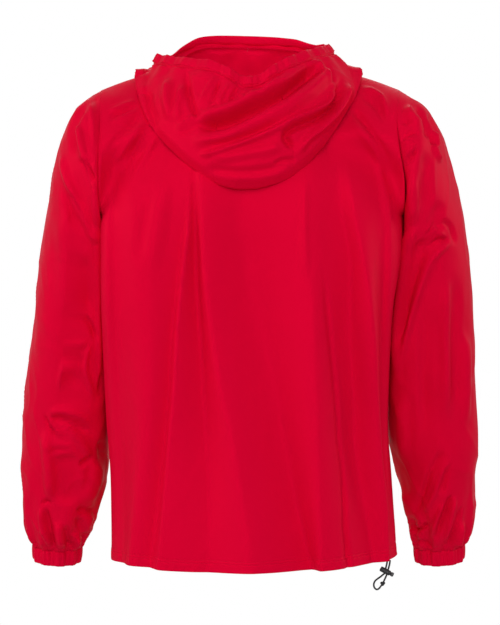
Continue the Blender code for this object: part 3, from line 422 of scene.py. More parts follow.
HOOD_FOLDS = [
    Fold(-20, 12, 0.1, [
        (76, 103), (50, 97), (25, 89), (3, 78), (-20, 67), (-42, 55), (-62, 40), (-81, 23), (-106, 8),
    ]),
    Fold(-6, 9, 0.5, [(62, 104), (28, 97), (-3, 83), (-25, 70)]),
    Fold(6, 12, 0.2, [(78, 88), (50, 81), (25, 73), (3, 62), (-20, 51), (-42, 39), (-64, 22)]),
    Fold(6, 15, 0.2, [(84, 123), (39, 117), (-3, 97), (-48, 75), (-87, 47), (-118, 13)]),
    Fold(-9, 9, 0.4, [
        (-130, 19), (-127, 47), (-118, 69), (-98, 86), (-77, 96), (-59, 104), (-50, 113), (-55, 124),
        (-66, 131),
    ]),
    Fold(5, 7, 0.4, [
        (-122, 41), (-111, 65), (-87, 79), (-64, 89), (-42, 102), (0, 120), (49, 137), (73, 142),
    ]),
    Fold(6, 9, 0.3, [(-140, 30), (-139, 53), (-125, 78), (-101, 102), (-78, 121), (-66, 144)]),
    Fold(-3, 8, 0.3, [(73, 128), (31, 123), (-8, 109), (-45, 92)]),
    Fold(6, 12, 0.3, [(115, 22), (118, 57), (109, 99)]),
    Fold(5, 8, 0.4, [(95, 36), (101, 67), (102, 100)]),
    Fold(-6, 8, 0.5, [(92, 11), (87, 47), (80, 75), (70, 92)]),
    Fold(-5, 16, 0.2, [(150, 36), (146, 69), (129, 103)]),
    Fold(3.5, 5, 0.6, [(106, 106), (90, 93), (70, 81)]),
    Fold(-3, 6, 0.4, [(101, 114), (81, 102), (64, 92)]),
    Fold(3, 5, 0.5, [(48, 27), (62, 50), (71, 72)]),
    Fold(-3, 5, 0.5, [(39, 30), (50, 53), (59, 75)]),
    Fold(3, 5, 0.5, [(28, 36), (39, 55), (46, 75)]),
    Fold(-3, 5, 0.4, [(14, 41), (24, 55), (29, 69)]),
    Fold(3, 5, 0.4, [(0, 44), (10, 55), (14, 65)]),
    Fold(-3.5, 6, 0.4, [(-36, 25), (-25, 39), (-11, 53)]),
    Fold(3, 6, 0.4, [(-53, 16), (-42, 30), (-28, 44)]),
    Fold(-3.5, 6, 0.5, [(-78, -3), (-84, 11), (-92, 25)]),
    Fold(3.5, 6, 0.4, [(-95, -3), (-105, 16), (-118, 41)]),
    Fold(-3, 6, 0.4, [(-106, 2), (-116, 19), (-122, 39)]),
    Fold(3, 12, 0.2, [(64, 148), (20, 142), (-25, 134), (-45, 128)]),
    Fold(-3, 6, 0.4, [(-31, 156), (-48, 148), (-67, 149)]),
    Fold(-3, 10, 0.2, [(70, 160), (25, 165), (-20, 163), (-56, 153)]),
]

# The drawcord: out of the hem, through the lock, round the loop to its knot, and back again.
CORD_LINE = [
    (-201.2, 55.0, 716.9),
    (-200.9, 55.2, 720.0),
    (-200.3, 55.3, 723.6),
    (-199.4, 55.2, 727.2),
    (-198.4, 55.0, 730.4),
    (-196.6, 55.0, 733.4),
    (-194.2, 55.0, 735.5),
    (-191.0, 55.2, 737.9),
    (-187.0, 55.5, 741.2),
    (-182.8, 56.0, 744.0),
    (-179.2, 56.6, 747.3),
    (-177.7, 57.0, 751.6),
    (-178.6, 57.2, 756.2),
    (-181.8, 57.0, 758.9),
    (-185.2, 56.4, 757.6),
    (-187.8, 55.8, 754.4),
    (-189.9, 55.4, 751.6),
    (-191.4, 55.3, 748.9),
    (-192.7, 55.3, 746.2),
    (-194.3, 55.0, 742.8),
    (-196.0, 55.0, 738.9),
    (-196.3, 55.3, 735.9),
    (-195.0, 55.6, 731.4),
    (-195.2, 55.4, 728.0),
    (-196.0, 55.7, 724.2),
    (-196.8, 55.7, 720.6),
    (-197.3, 55.5, 717.0),
]
LOCK_ENDS = ((-187.3, 55, 729.0), (-206.0, 55, 738.6))
LOCK_RADIUS = 3.8
PLUNGER_RADIUS = 3.1
PLUNGER_LENGTH = 5.5
PLUNGER_GAP = 0.3
GRIP_RIBS = 10
GRIP_DEPTH = 0.16
KNOT_MIDDLE = (-190.6, 55.4, 750.6)
KNOT_SIZE = 0.84

# ---------------------------------------------------------------- colours

RED = (0.74, 0.0010, 0.033)
# darker red for the cloth's random tone, and for painted shade in the hollows of the weave and thread
DEEP_AND_SHADED_RED = (0.66, 0.0006, 0.026)
THREAD_RED = (0.56, 0.004, 0.030)
BLACK = (0.011, 0.011, 0.013)
WORN_BLACK = (0.060, 0.060, 0.064)
GREY = (0.05, 0.05, 0.053)
WORN_GREY = (0.14, 0.14, 0.145)
WHITE = (1, 1, 1, 1)
PALE = (0.68, 0.68, 0.68)
PALER = (0.71, 0.71, 0.70)


# ---------------------------------------------------------------- reading the tables


def read(rows, places):
    """Every column of a table, read smoothly at the given places in its first column."""
    table = np.array(rows, float)
    keys = table[:, 0]
    slopes = np.gradient(table, keys, axis=0)
    places = np.clip(np.asarray(places, float), keys[0], keys[-1])
    low = np.clip(np.searchsorted(keys, places, side="right") - 1, 0, len(keys) - 2)
    span = keys[low + 1] - keys[low]
    t = ((places - keys[low]) / span)[..., None]
    span = span[..., None]
    value = (2 * t**3 - 3 * t**2 + 1) * table[low] + (3 * t**2 - 2 * t**3) * table[low + 1]
    value += span * ((t**3 - 2 * t**2 + t) * slopes[low] + (t**3 - t**2) * slopes[low + 1])
    return type(rows[0])(*np.moveaxis(value, -1, 0))


def numbered(rows):
    """The same table with the share of its length, 0 to 1, put before each row."""
    kind = namedtuple("Numbered" + type(rows[0]).__name__, ("share",) + rows[0]._fields)
    return [kind(index / (len(rows) - 1), *row) for index, row in enumerate(rows)]


def all_round(rows):
    """A table keyed by degrees, carried on past both ends so that it closes on itself."""
    before = [row._replace(turn=row.turn - 360) for row in rows[-2:]]
    after = [row._replace(turn=row.turn + 360) for row in rows[:2]]
    return before + rows + after


def ease(t):
    """0 before 0, 1 after 1, and a smooth rise between."""
    t = np.clip(t, 0, 1)
    return t * t * (3 - 2 * t)


def mix(a, b, t):
    return a + (b - a) * t


def curve_through(points, count):
    """Evenly numbered places along a smooth curve through a few points."""
    points = np.array(points, float)
    kind = namedtuple("Key", ["at"] + ["xyz"[axis] for axis in range(points.shape[1])])
    table = [kind(index, *point) for index, point in enumerate(points)]
    found = read(table, np.linspace(0, len(points) - 1, count))
    return np.stack(found[1:], -1)


def from_drop(x, y, drop):
    return np.array([x, y, -drop], float)


def unit(ways):
    """The same ways, each made one long."""
    return ways / np.maximum(np.linalg.norm(ways, axis=-1, keepdims=True), 1e-9)


def lengths_along(points, axis=0):
    """How far each place of a line or grid lies along it, from the first place in its row."""
    steps = np.linalg.norm(np.diff(points, axis=axis), axis=-1)
    first = np.zeros_like(np.take(steps, [0], axis=axis))
    return np.concatenate([first, np.cumsum(steps, axis=axis)], axis=axis)


# ---------------------------------------------------------------- folds and wrinkles


def fold_height(folds, x, drop, longest=LONGEST_TAPER):
    """How far the cloth stands out at each place, from all the folds that reach it."""
    height = np.zeros(np.shape(x))
    for fold in folds:
        line = curve_through(fold.line, 4 * len(fold.line) - 3)
        nearest = np.full(np.shape(x), np.inf)
        along = np.zeros(np.shape(x))
        steps = len(line) - 1
        full = np.linalg.norm(np.diff(line, axis=0), axis=1).sum()
        taper = min(FOLD_TAPER, longest / full)
        for index in range(steps):
            (x0, d0), (x1, d1) = line[index], line[index + 1]
            length2 = (x1 - x0) ** 2 + (d1 - d0) ** 2
            t = np.clip(((x - x0) * (x1 - x0) + (drop - d0) * (d1 - d0)) / length2, 0, 1)
            away = np.hypot(x - mix(x0, x1, t), drop - mix(d0, d1, t))
            closer = away < nearest
            nearest = np.where(closer, away, nearest)
            along = np.where(closer, (index + t) / steps, along)
        near = np.clip(nearest / fold.reach, 0, 1)
        crest = mix(np.cos(near * math.pi / 2) ** 2, (1 - near) ** 2, fold.keen)
        height += fold.height * crest * ease(along / taper) * ease((1 - along) / taper)
    return height


def held_to(limit, height):
    """The height, with what is small kept and what is great held to the limit."""
    return limit * np.tanh(height / limit)


def crest_height(crests, x, drop):
    """How far the cloth stands out between the long folds of a panel, listed by rising x."""
    lines = [read([CrestPlace(d, at, h) for at, d, h in crest.places], drop) for crest in crests]
    height = np.zeros(np.shape(x))
    for first, second, low, high in zip(crests, crests[1:], lines, lines[1:]):
        between = (x >= low.x) & (x < high.x)
        t = np.clip((x - low.x) / np.maximum(high.x - low.x, 1e-6), 0, 1)
        rise = high.height - low.height
        curve = low.height + rise * (3 * t**2 - 2 * t**3)
        curve += rise * (first.keen * (t**3 - 2 * t**2 + t) + second.keen * (t**3 - t**2))
        height = np.where(between, curve, height)
    return height


def uneven(points, size, drawn_out, seed, waves=16):
    """A smooth random field over the places, mostly from -2 to 2, drawn out up and down."""
    picks = np.random.default_rng(seed)
    total = np.zeros(points.shape[:-1])
    for _ in range(waves):
        way = picks.normal(size=3)
        way *= 2 * math.pi / (size * picks.uniform(0.7, 1.7) * np.linalg.norm(way))
        way[2] /= drawn_out
        total += np.cos(points @ way + picks.uniform(0, 2 * math.pi))
    return total / math.sqrt(waves / 2)


def wrinkles(points, seed, drawn_out=3.0, strength=1.0):
    """Slack in the cloth: long soft waves, and a few keener ridges."""
    waves = uneven(points, 95, drawn_out, seed)
    ridges = 1 - np.abs(uneven(points, 60, drawn_out, seed + 1))
    fine = 0.16 * uneven(points, 24, drawn_out, seed + 2)
    return strength * (waves + 0.9 * np.clip(ridges, 0, 1) ** 2 + fine)


def outward(points):
    """Unit normals of a grid of points, from its neighbours."""
    down = np.gradient(points, axis=0)
    over = np.gradient(points, axis=1)
    return unit(np.cross(over, down))


def outward_round(points):
    """The same for a grid whose rows close on themselves."""
    wrapped = np.concatenate([points[:, -2:], points, points[:, :2]], axis=1)
    return outward(wrapped)[:, 2:-2]


def sunk_line(distance, at, depth, reach):
    """The groove along a line at a distance from an edge."""
    return -depth * np.exp(-(((distance - at) / reach) ** 2))


def stitch_grooves(distance, lines, sink):
    return sum(sunk_line(distance, line, *sink) for line in lines)


def close_at_ends(count, near):
    """Shares from 0 to 1, evenly spaced but for extra ones close to each end."""
    near = np.array([share for share in near if share < 0.9 / (count - 1)])
    return np.concatenate([[0], near, np.linspace(0, 1, count)[1:-1], 1 - near[::-1], [1]])


# ---------------------------------------------------------------- the forms of the garment


def torso(across, down, face):
    """Places on the body. across runs from the right seam, -1, to the left one, 1; down from the
    neckline and shoulder, 0, to the hem, 1; face is 1 for the back and -1 for the front."""
    arm_middle = (ARM_TOP + ARM_BOTTOM) / 2
    arm_half = (ARM_BOTTOM - ARM_TOP) / 2
    swing = math.pi * np.clip(down / ARM_SHARE, 0, 1)
    below = np.clip((down - ARM_SHARE) / (1 - ARM_SHARE), 0, 1)
    hem_drop = read(HEM, across).drop
    drop = arm_middle - arm_half * np.cos(swing) + below * (hem_drop - ARM_BOTTOM)
    ring = read(BODY, drop)
    half = np.where(across > 0, ring.left, ring.right)
    depth = ring.back if face > 0 else ring.front
    left_back = (across > 0) & (face > 0)
    lower_half = swing > math.pi / 2
    arc = np.abs(np.sin(swing)) ** np.where(left_back & lower_half, CLOSE_ARC, 1)
    seam_depth = ARM_DEPTH[0 if face > 0 else 1] * arc
    closing = ease((drop - CLOSING_START) / (CLOSING_END - CLOSING_START))
    size = np.abs(across)
    quarter = size * math.pi / 2
    width = np.sign(across) * mix(size, np.sin(quarter) ** WIDTH_FULLNESS, closing)
    # Beside the left armhole the back's cloth runs level to the seam.
    level = ease((swing - LEVEL_SWING[0]) / LEVEL_SWING[1]) * ease((math.pi - swing) / LEVEL_END)
    size = np.where(left_back, np.minimum(size, 1 - LEVEL_EDGE * level), size)
    quarter = size * math.pi / 2
    fullness = mix(*DEPTH_FULLNESS, ease((drop - ARM_BOTTOM) / DEPTH_FADE))
    under = 0
    if face > 0:
        under = ease((drop - UNDER_FROM) / (ARM_BOTTOM - UNDER_FROM))
        fullness = np.where(across > 0, mix(*LEFT_FULLNESS, under), mix(*RIGHT_FULLNESS, under))
        fullness = mix(fullness, DEPTH_FULLNESS[1], ease((drop - CLOSE_TO) / DEPTH_FADE))
        closing = ease((drop - CLOSING_START) / (BACK_CLOSING_END - CLOSING_START))
    flatness = mix(*YOKE_FLATNESS, ease((drop - CLOSING_START) / YOKE_FADE))
    bow = mix(1 - size**flatness, np.abs(np.cos(quarter)).round(9) ** fullness, closing)
    x = half * width
    # The armhole's own depth reaches far across the panel at the shoulder and hardly at all at
    # the underarm.
    hold = mix(*SEAM_HOLD, ease((drop - HOLD_START) / HOLD_FADE))
    dying = np.abs(np.sin(swing)) ** np.clip(UNDERARM_SOFTNESS * (1 - size), 0, 1)
    # Where the left back is filled out to its seam, it needs less of the armhole's own depth.
    seam_depth = seam_depth * (1 - under * bow * (across > 0))
    y = depth * bow + seam_depth * size**hold * np.where(lower_half, dying, 1)
    # The top rows run up to the shoulder seam and round the neckline.
    size = np.abs(across)
    neck_share = NECK_HALF / BODY[0].left
    neck_depth, neck_drop = NECK_BACK if face > 0 else NECK_FRONT
    on_shoulder = np.clip((size - neck_share) / (1 - neck_share), 0, 1)
    round_neck = np.clip(size / neck_share, 0, 1) * math.pi / 2
    top_half = np.where(across > 0, BODY[0].left, BODY[0].right)
    top_x = np.sign(across) * mix(NECK_HALF * np.sin(round_neck), top_half, on_shoulder)
    top_y = neck_depth * np.cos(round_neck)
    crown = SHOULDER_CROWN * np.sin(math.pi * on_shoulder)
    top_drop = mix(NECK_SIDE_DROP, ARM_TOP, on_shoulder) - crown
    top_drop = top_drop + (neck_drop - NECK_SIDE_DROP) * np.cos(round_neck) ** NECK_SCOOP
    start_y = (BODY[0].back if face > 0 else BODY[0].front) * (1 - size ** YOKE_FLATNESS[0])
    start_x = top_half * across
    fade = 1 - ease(down / (ARM_SHARE * (BACK_YOKE if face > 0 else 1)))
    x = x + (top_x - start_x) * fade
    y = y + (top_y - start_y) * fade
    drop = drop + (top_drop - ARM_TOP) * fade
    return np.stack([x, face * y, -drop], -1)


def armhole(side, turn):
    """The seam line where a sleeve meets the body, just outside the body's own edge."""
    swing = np.where(turn > math.pi, 2 * math.pi - turn, turn)
    down = swing / math.pi * ARM_SHARE
    across = np.full(np.shape(turn), float(side))
    on_back = torso(across, down, 1)
    on_front = torso(across, down, -1)
    edge = np.where((turn > math.pi)[..., None], on_front, on_back)
    return edge + np.array([side * SEAM_GAP, 0, 0])


def sleeve(rings, side, along, turn):
    """Places on a sleeve: along it from the armhole, 0, to the cuff, 1, and round it from its
    outer line, turn 0, by way of the back."""
    table = numbered(rings)
    ring = read(table, along)
    step = 0.01
    ahead = read(table, np.minimum(along + step, 1))
    behind = read(table, np.maximum(along - step, 0))
    fall = (ahead.out_drop + ahead.inner_drop - behind.out_drop - behind.inner_drop) / 2
    lean = np.arctan2(behind.middle - ahead.middle, np.maximum(fall, 1e-6))
    lean = lean * ease(along / 0.3)
    faded = ease((along - BESIDE_FADE[0]) / (BESIDE_FADE[1] - BESIDE_FADE[0]))
    beside = mix(CLOSE_FULLNESS if side > 0 else BESIDE_FULLNESS, SLEEVE_FULLNESS, faded)
    fullness = np.where((np.cos(turn) < 0) & (np.sin(turn) > 0), beside, SLEEVE_FULLNESS)
    open_way = np.sign(np.cos(turn)) * np.abs(np.cos(turn)) ** fullness
    back_way = np.sign(np.sin(turn)) * np.abs(np.sin(turn)) ** fullness
    x = (ring.out + ring.inner) / 2 + (ring.out - ring.inner) / 2 * open_way
    drop = (ring.out_drop + ring.inner_drop) / 2 + (ring.out_drop - ring.inner_drop) / 2 * open_way
    y = ring.middle + ring.depth * back_way * np.cos(lean)
    drop = drop + ring.depth * back_way * np.sin(lean)
    points = np.stack([side * x, y, -drop], -1)
    # The first ring is the body's own armhole, and that shape dies out down the sleeve.
    first = rings[0]
    start_x = side * ((first.out + first.inner) / 2 + (first.out - first.inner) / 2 * open_way)
    start_drop = (ARM_TOP + ARM_BOTTOM) / 2 + (ARM_TOP - ARM_BOTTOM) / 2 * open_way
    start = np.stack([start_x, first.depth * back_way, -start_drop], -1)
    fade = 1 - ease(along / ARMHOLE_FADE)
    return points + (armhole(side, turn) - start) * fade[..., None]


def gathers(along, turn):
    """Soft pleats that deepen towards the cuff and die out above the forearm."""
    depth = GATHER_DEPTH * ease((along - GATHER_START) / 0.2)
    depth = depth - (GATHER_DEPTH - CUFF_PLEAT) * ease((along - 0.94) / 0.06)
    swell = 1 + 0.35 * np.sin(3 * turn + 1.1)
    return depth * swell * np.cos(SLEEVE_GATHERS * turn + 0.8 * np.sin(2 * turn))


def neck_edge(turn):
    """The neckline, by degrees round it from the middle of the back."""
    angle = math.radians(turn)
    depth, drop = NECK_BACK if math.cos(angle) > 0 else NECK_FRONT
    fall = NECK_SIDE_DROP + (drop - NECK_SIDE_DROP) * abs(math.cos(angle)) ** NECK_SCOOP
    return np.array([NECK_HALF * math.sin(angle), depth * math.cos(angle), -fall])


def body_samples():
    """The body's outer surface as a search tree, with its points and normals."""
    across, down = np.meshgrid(np.linspace(-1, 1, 81), np.linspace(0, 0.6, 61))
    points = []
    normals = []
    for face in (1, -1):
        grid = torso(across, down, face)
        points.append(grid.reshape(-1, 3))
        normals.append((outward(grid) * face).reshape(-1, 3))
    points = np.concatenate(points)
    tree = KDTree(len(points))
    for index, point in enumerate(points):
        tree.insert(point, index)
    tree.balance()
    return tree, points, np.concatenate(normals)


def off_the_body(points, clearances, samples):
    """Moves each point out along the body's nearest normal until it clears the body."""
    tree, body, normals = samples
    moved = points.copy()
    for index, (point, clearance) in enumerate(zip(points, clearances)):
        nearest = tree.find(point)[1]
        height = (point - body[nearest]) @ normals[nearest]
        if height < clearance:
            moved[index] = point + normals[nearest] * (clearance - height)
    return moved


def hood_spoke(turn, samples):
    """One line of the hood's cloth: from the neckline under the bag, then up to the rim, with how
    far along it each place lies and where the cloth doubles over."""
    spoke = read(all_round(HOOD), turn)
    angle = math.radians(turn)
    neck = neck_edge(turn)
    bag = from_drop(spoke.bag_x, spoke.bag_y, spoke.bag_drop)
    rim = from_drop(spoke.rim_x, spoke.rim_y, spoke.rim_drop)
    away = np.array([math.sin(angle), math.cos(angle), 0])
    over = mix(bag, rim, 0.45) + away * spoke.belly
    line = curve_through([neck, mix(neck, bag, 0.5), bag, over, rim], 2 * HOOD_STEPS + 1)
    share = np.linspace(0, 1, 2 * HOOD_STEPS + 1)
    lift = mix(NECK_CLEARANCE, UNDER_CLEARANCE, ease(share / 0.15))
    lift = mix(lift, OVER_CLEARANCE, ease((share - 0.35) / 0.2))
    line = off_the_body(line, lift, samples)
    run = lengths_along(line)
    return line, run, run[HOOD_STEPS]


def along_line(line, run, places):
    return np.stack([np.interp(places, run, line[:, axis]) for axis in range(3)], -1)


# ---------------------------------------------------------------- cloth pieces as grids


def turned_in(points, normals, sides=(), ends=(), lean=0.0):
    """The grid with a seam allowance behind its chosen edges. sides and ends name first or last;
    lean is how far the allowance slopes to the front."""
    inside = points - normals * TURN_IN - np.array([0, lean, 0])
    if "first" in sides:
        points = np.concatenate([inside[:, :1], points], axis=1)
        inside = np.concatenate([inside[:, :1], inside], axis=1)
    if "last" in sides:
        points = np.concatenate([points, inside[:, -1:]], axis=1)
        inside = np.concatenate([inside, inside[:, -1:]], axis=1)
    if "first" in ends:
        points = np.concatenate([inside[:1], points], axis=0)
    if "last" in ends:
        points = np.concatenate([points, inside[-1:]], axis=0)
    return points


def drawn_in(points, sides=True, top=False, gap=SEAM_GAP):
    """Moves the edges a little way into their own panel, off the seam line."""
    points = points.copy()
    if sides:
        for edge, next_in in ((0, 1), (-1, -2)):
            points[:, edge] += unit(points[:, next_in] - points[:, edge]) * gap
    if top:
        points[0] += unit(points[1] - points[0]) * gap
    return points


def hem_relief(above, places):
    """The doubled band of a hem, sunk at its stitch lines and puckered between them."""
    band = HEM_RISE * ease((HEM_DEPTH + 1.5 - above) / 2.5)
    pucker = PUCKER_DEPTH * np.cos(places / PUCKER_LENGTH * 2 * math.pi + 2 * np.sin(places / 37))
    pucker = pucker * ease((HEM_DEPTH + 7 - above) / 8) * ease(above / 4)
    return band + pucker + stitch_grooves(above, HEM_STITCH_LINES, HEM_STITCH_SINK)


def body_panel(face, columns, rows, crests, folds, seed):
    """The grid of one body panel, its normals, and how far each place lies above the hem."""
    near_seam = [0.003, 0.006, 0.010, 0.016]
    across = 2 * close_at_ends(columns, [share / 2 for share in near_seam]) - 1
    # Below its middle the armhole's rows lie evenly by drop, because its edge turns level there.
    share = np.linspace(0.03, 1, rows // 3)
    share = np.where(share < 0.5, share, np.arccos(1 - 2 * share) / math.pi)
    beside_arm = np.concatenate([[0, 0.003, 0.006], ARM_SHARE * share])
    below_arm = np.linspace(ARM_SHARE, 1 - HEM_ROWS * HEM_STEP, rows - rows // 3)[1:]
    hem_rows = 1 - HEM_STEP * np.arange(HEM_ROWS - 1, -1, -1)
    across, down = np.meshgrid(across, np.concatenate([beside_arm, below_arm, hem_rows]))
    points = torso(across, down, face)
    normals = outward(points) * face
    run = lengths_along(points, 1)
    from_seam = np.minimum(run, run[:, -1:] - run)
    from_top = lengths_along(points, 0)
    above_hem = from_top[-1:] - from_top
    x = points[..., 0]
    height = FOLD_DEPTH * fold_height(folds, x, -points[..., 2]) + 0.5 * wrinkles(points, seed)
    height += CREST_DEPTH * crest_height(crests, x, -points[..., 2])
    height *= ease(from_seam / 24) * ease(from_top / 40)
    on_seam = sunk_line(from_seam, 0, *SEAM_SINK) * normals[..., 1] ** 2
    at_shoulder = sunk_line(from_top, 0, *SEAM_SINK)
    height += on_seam + at_shoulder + hem_relief(above_hem, x)
    points = drawn_in(points + normals * height[..., None], top=True)
    return points, normals, above_hem


def turned_under(points, normals, steps, way=None):
    """The grid and its normals with the last row's edge turned under, back the way it came or
    another way."""
    if way is None:
        way = unit(points[-2] - points[-1])
    rows = [points[-1] - normals[-1] * inward + way * back for inward, back in steps]
    points = np.concatenate([points, np.array(rows)], axis=0)
    return points, np.concatenate([normals, np.repeat(normals[-1:], len(rows), axis=0)], axis=0)


def rows_at(points, normals, distance, lines):
    """The rows of a grid, and their normals, that lie nearest to the given distances."""
    found = [int(np.argmin(np.abs(distance.mean(axis=1) - line))) for line in lines]
    return [(points[row], normals[row]) for row in found]


def sleeve_piece(rings, side, folds, columns, rows, seed):
    turn = np.linspace(0, 2 * math.pi, columns, endpoint=False)
    along = np.concatenate([[0, 0.002, 0.004, 0.007], np.linspace(0.011, 1, rows)])
    turn, along = np.meshgrid(turn, along)
    points = sleeve(rings, side, along, turn)
    normals = outward_round(points) * -side
    facing = ease((normals[..., 1] + 0.25) / 0.6)
    drop = -points[..., 2]
    height = held_to(DEEPEST_FOLD, SLEEVE_FOLD_DEPTH * fold_height(folds, points[..., 0], drop))
    height *= facing
    # The hidden front of the sleeve has the same folds, lower down and shallower.
    lower = fold_height(folds, points[..., 0], drop - FRONT_DROP)
    height += FRONT_FOLD_DEPTH * lower * (1 - facing)
    height += wrinkles(points, seed, drawn_out=1.6, strength=1.0 + 0.8 * ease((along - 0.4) / 0.3))
    from_seam = lengths_along(points, 0)
    height *= ease(from_seam / 22) * ease((1 - along) / 0.06)
    height += gathers(along, turn)
    fine = FINE_GATHER_DEPTH * ease((along - 0.86) / 0.12)
    height += fine * np.cos(FINE_GATHERS * turn + 1.4 * np.sin(3 * turn) + 2 * along)
    inner_line = ease((-np.cos(turn) - 0.75) / 0.2) * ease((GATHER_START - along) / 0.1)
    height *= 1 - 0.85 * inner_line
    height += 1.3 * ease((along - 0.965) / 0.02)
    underarm = ease((-np.cos(turn) - 0.5) / 0.4)
    underarm *= ease((along - 0.01) / 0.03) * ease((0.72 - along) / 0.06)
    height += UNDERARM_FULL * underarm
    height += sunk_line(from_seam, 0, *SEAM_SINK) * normals[..., 1] ** 2
    points = points + normals * height[..., None]
    # The seam allowance at the armhole lies inside the body's edge.
    inward = points[0].mean(axis=0) - points[0]
    inward *= ARMHOLE_TURN_IN / np.linalg.norm(inward, axis=-1, keepdims=True)
    inside = points[0] + inward - np.array([side * 1.5, 0, 0])
    points = np.concatenate([inside[None], points])
    return turned_in(points, np.concatenate([normals[:1], normals]), ends=("last",))


def cuff_piece(rings, side, columns):
    """The elastic band below a sleeve, and the line of its stitching."""
    turn = np.linspace(0, 2 * math.pi, columns, endpoint=False)
    end = sleeve(rings, side, np.ones(columns), turn)
    middle = end.mean(axis=0)
    away = end - middle
    across_x = away[np.argmax(away[:, 0])]
    across_y = away[np.argmax(away[:, 1])]
    axis = np.cross(across_x, across_y)
    axis *= -np.sign(axis[2]) / np.linalg.norm(axis)
    out = unit(away)
    pleat = gathers(np.ones(columns), turn)[:, None] * out
    shirring = np.cos(CUFF_RIBS * turn + 1.7 * np.sin(2 * turn) + np.sin(5 * turn))
    rows = []
    for share in np.linspace(0, 1, CUFF_ROWS):
        depth = share * CUFF_DEPTH
        swell = 1 + 0.02 * math.sin(math.pi * share)
        ribs = CUFF_RIB_DEPTH * shirring
        relief = ribs * ease((depth - 1) / 4) * (1 - 0.4 * ease((share - 0.8) / 0.2))
        relief = relief + stitch_grooves(depth, CUFF_STITCH_LINES, CUFF_STITCH_SINK)
        relief = relief - 0.7 * ease((share - 0.94) / 0.06)
        shift = axis * (depth - CUFF_TUCK)
        row = middle + away * swell + pleat * (1 - 0.35 * share) + out * relief[:, None]
        rows.append(row + shift)
    points = np.array(rows)
    points, normals = turned_under(points, np.broadcast_to(out, points.shape), CUFF_UNDER, -axis)
    stitched = [round(line / CUFF_DEPTH * (CUFF_ROWS - 1)) for line in CUFF_STITCH_LINES]
    lines = [(points[row], normals[row]) for row in stitched]
    return turned_in(points, normals, ends=("first",)), lines


HoodGrids = namedtuple("HoodGrids", "cloth casing turns side_count middle_count under_rows")


def hood_grids(samples, side_columns, middle_columns, under_rows, over_rows):
    """The hood's cloth and its gathered casing as grids of places, a column for each spoke."""
    near = np.array([0.1, 0.35, 0.75]) / 50
    side = HOOD_SEAM_TURN + (180 - HOOD_SEAM_TURN) * close_at_ends(side_columns, near / 3)
    middle = HOOD_SEAM_TURN * (2 * close_at_ends(middle_columns, near) - 1)
    turns = np.concatenate([-side[::-1], middle[1:-1], side[:-1]])
    cloth_rows = []
    casing_rows = []
    for turn in turns:
        line, run, fold = hood_spoke(turn, samples)
        seam = run[-1] - CASING_WIDTH
        under = np.linspace(0, fold, under_rows, endpoint=False)
        over = fold + (seam - SEAM_GAP - fold) * np.append(
            np.linspace(0, 0.975, over_rows), [0.982, 0.988, 0.994, 1]
        )
        cloth_rows.append(along_line(line, run, np.concatenate([under, over])))
        gathered = np.linspace(seam + SEAM_GAP, run[-1], CASING_ROWS)
        casing_rows.append(along_line(line, run, gathered))
    cloth = np.array(cloth_rows).swapaxes(0, 1)
    casing = np.array(casing_rows).swapaxes(0, 1)
    return HoodGrids(cloth, casing, turns, len(side), len(middle), under_rows)


def hood_cloth(grids):
    """The hood's three panels with their folds."""
    cloth, turns = grids.cloth, grids.turns
    normals = -outward_round(cloth)
    run = lengths_along(cloth, 0)
    to_casing = run[-1:] - run
    fold_share = run / run[-1:]
    outer = ease((fold_share - 0.46) / 0.10)
    facing = ease((cloth[..., 1] - 5) / 30)
    x, drop = cloth[..., 0], -cloth[..., 2]
    calm = ease(to_casing / 10)
    height = held_to(DEEPEST_HOOD_FOLD, HOOD_FOLD_DEPTH * fold_height(HOOD_FOLDS, x, drop, HOOD_TAPER))
    height *= outer * facing * calm
    # Round the front of the neck the hood keeps smaller folds of its own.
    at_front = uneven(cloth, size=46, drawn_out=1.5, seed=71)
    height += 2.2 * at_front * (1 - facing) * outer * calm
    slack = wrinkles(cloth, seed=70, drawn_out=1.0)
    height += 0.8 * slack * ease((fold_share - 0.2) / 0.2) * calm
    gathered = ease((130 - np.abs(turns)) / 35)[None, :]
    angle = np.radians(turns)[None, :]
    pleats = np.cos(CASING_GATHERS * angle + 0.9 * np.sin(5 * angle))
    drawn = CASING_PLEAT * gathered * pleats * np.exp(-to_casing / CASING_PLEAT_REACH)
    height += drawn * ease(to_casing / 3)
    for seam in (-HOOD_SEAM_TURN, HOOD_SEAM_TURN):
        away = np.abs(turns - seam)[None, :] * math.pi / 180 * np.hypot(cloth[..., 0], cloth[..., 1])
        height += sunk_line(away, 0, *HOOD_SEAM_SINK)
    height += sunk_line(to_casing, 0, *CASING_SEAM_SINK)
    points = cloth + normals * height[..., None]
    # The bag's lower edge curls in towards the back.
    from_edge = np.abs(run - run[grids.under_rows])
    points[..., 1] -= HOOD_CURL * (1 - ease(from_edge / HOOD_CURL_REACH)) * facing
    closed = np.concatenate([points, points[:, :1]], axis=1)
    closed_normals = np.concatenate([normals, normals[:, :1]], axis=1)
    first = grids.side_count - 1
    second = first + grids.middle_count - 1
    panels = []
    for start, stop, sides in (
        (0, first, ("last",)),
        (first, second, ("first", "last")),
        (second, closed.shape[1] - 1, ("first",)),
    ):
        part = drawn_in(closed[:, start : stop + 1], gap=HOOD_SEAM_GAP)
        part_normals = closed_normals[:, start : stop + 1]
        # Inside the neck the seam allowance hangs down over the body's own edge.
        away = part[0] * (1, 1, 0) / np.hypot(part[0, :, 0], part[0, :, 1])[:, None]
        inside = part[0] - away * NECK_TURN_IN[0] - np.array([0, 0, NECK_TURN_IN[1]])
        part = np.concatenate([inside[None], part])
        part_normals = np.concatenate([part_normals[:1], part_normals])
        panels.append(turned_in(part, part_normals, sides=sides, ends=("last",)))
    return panels


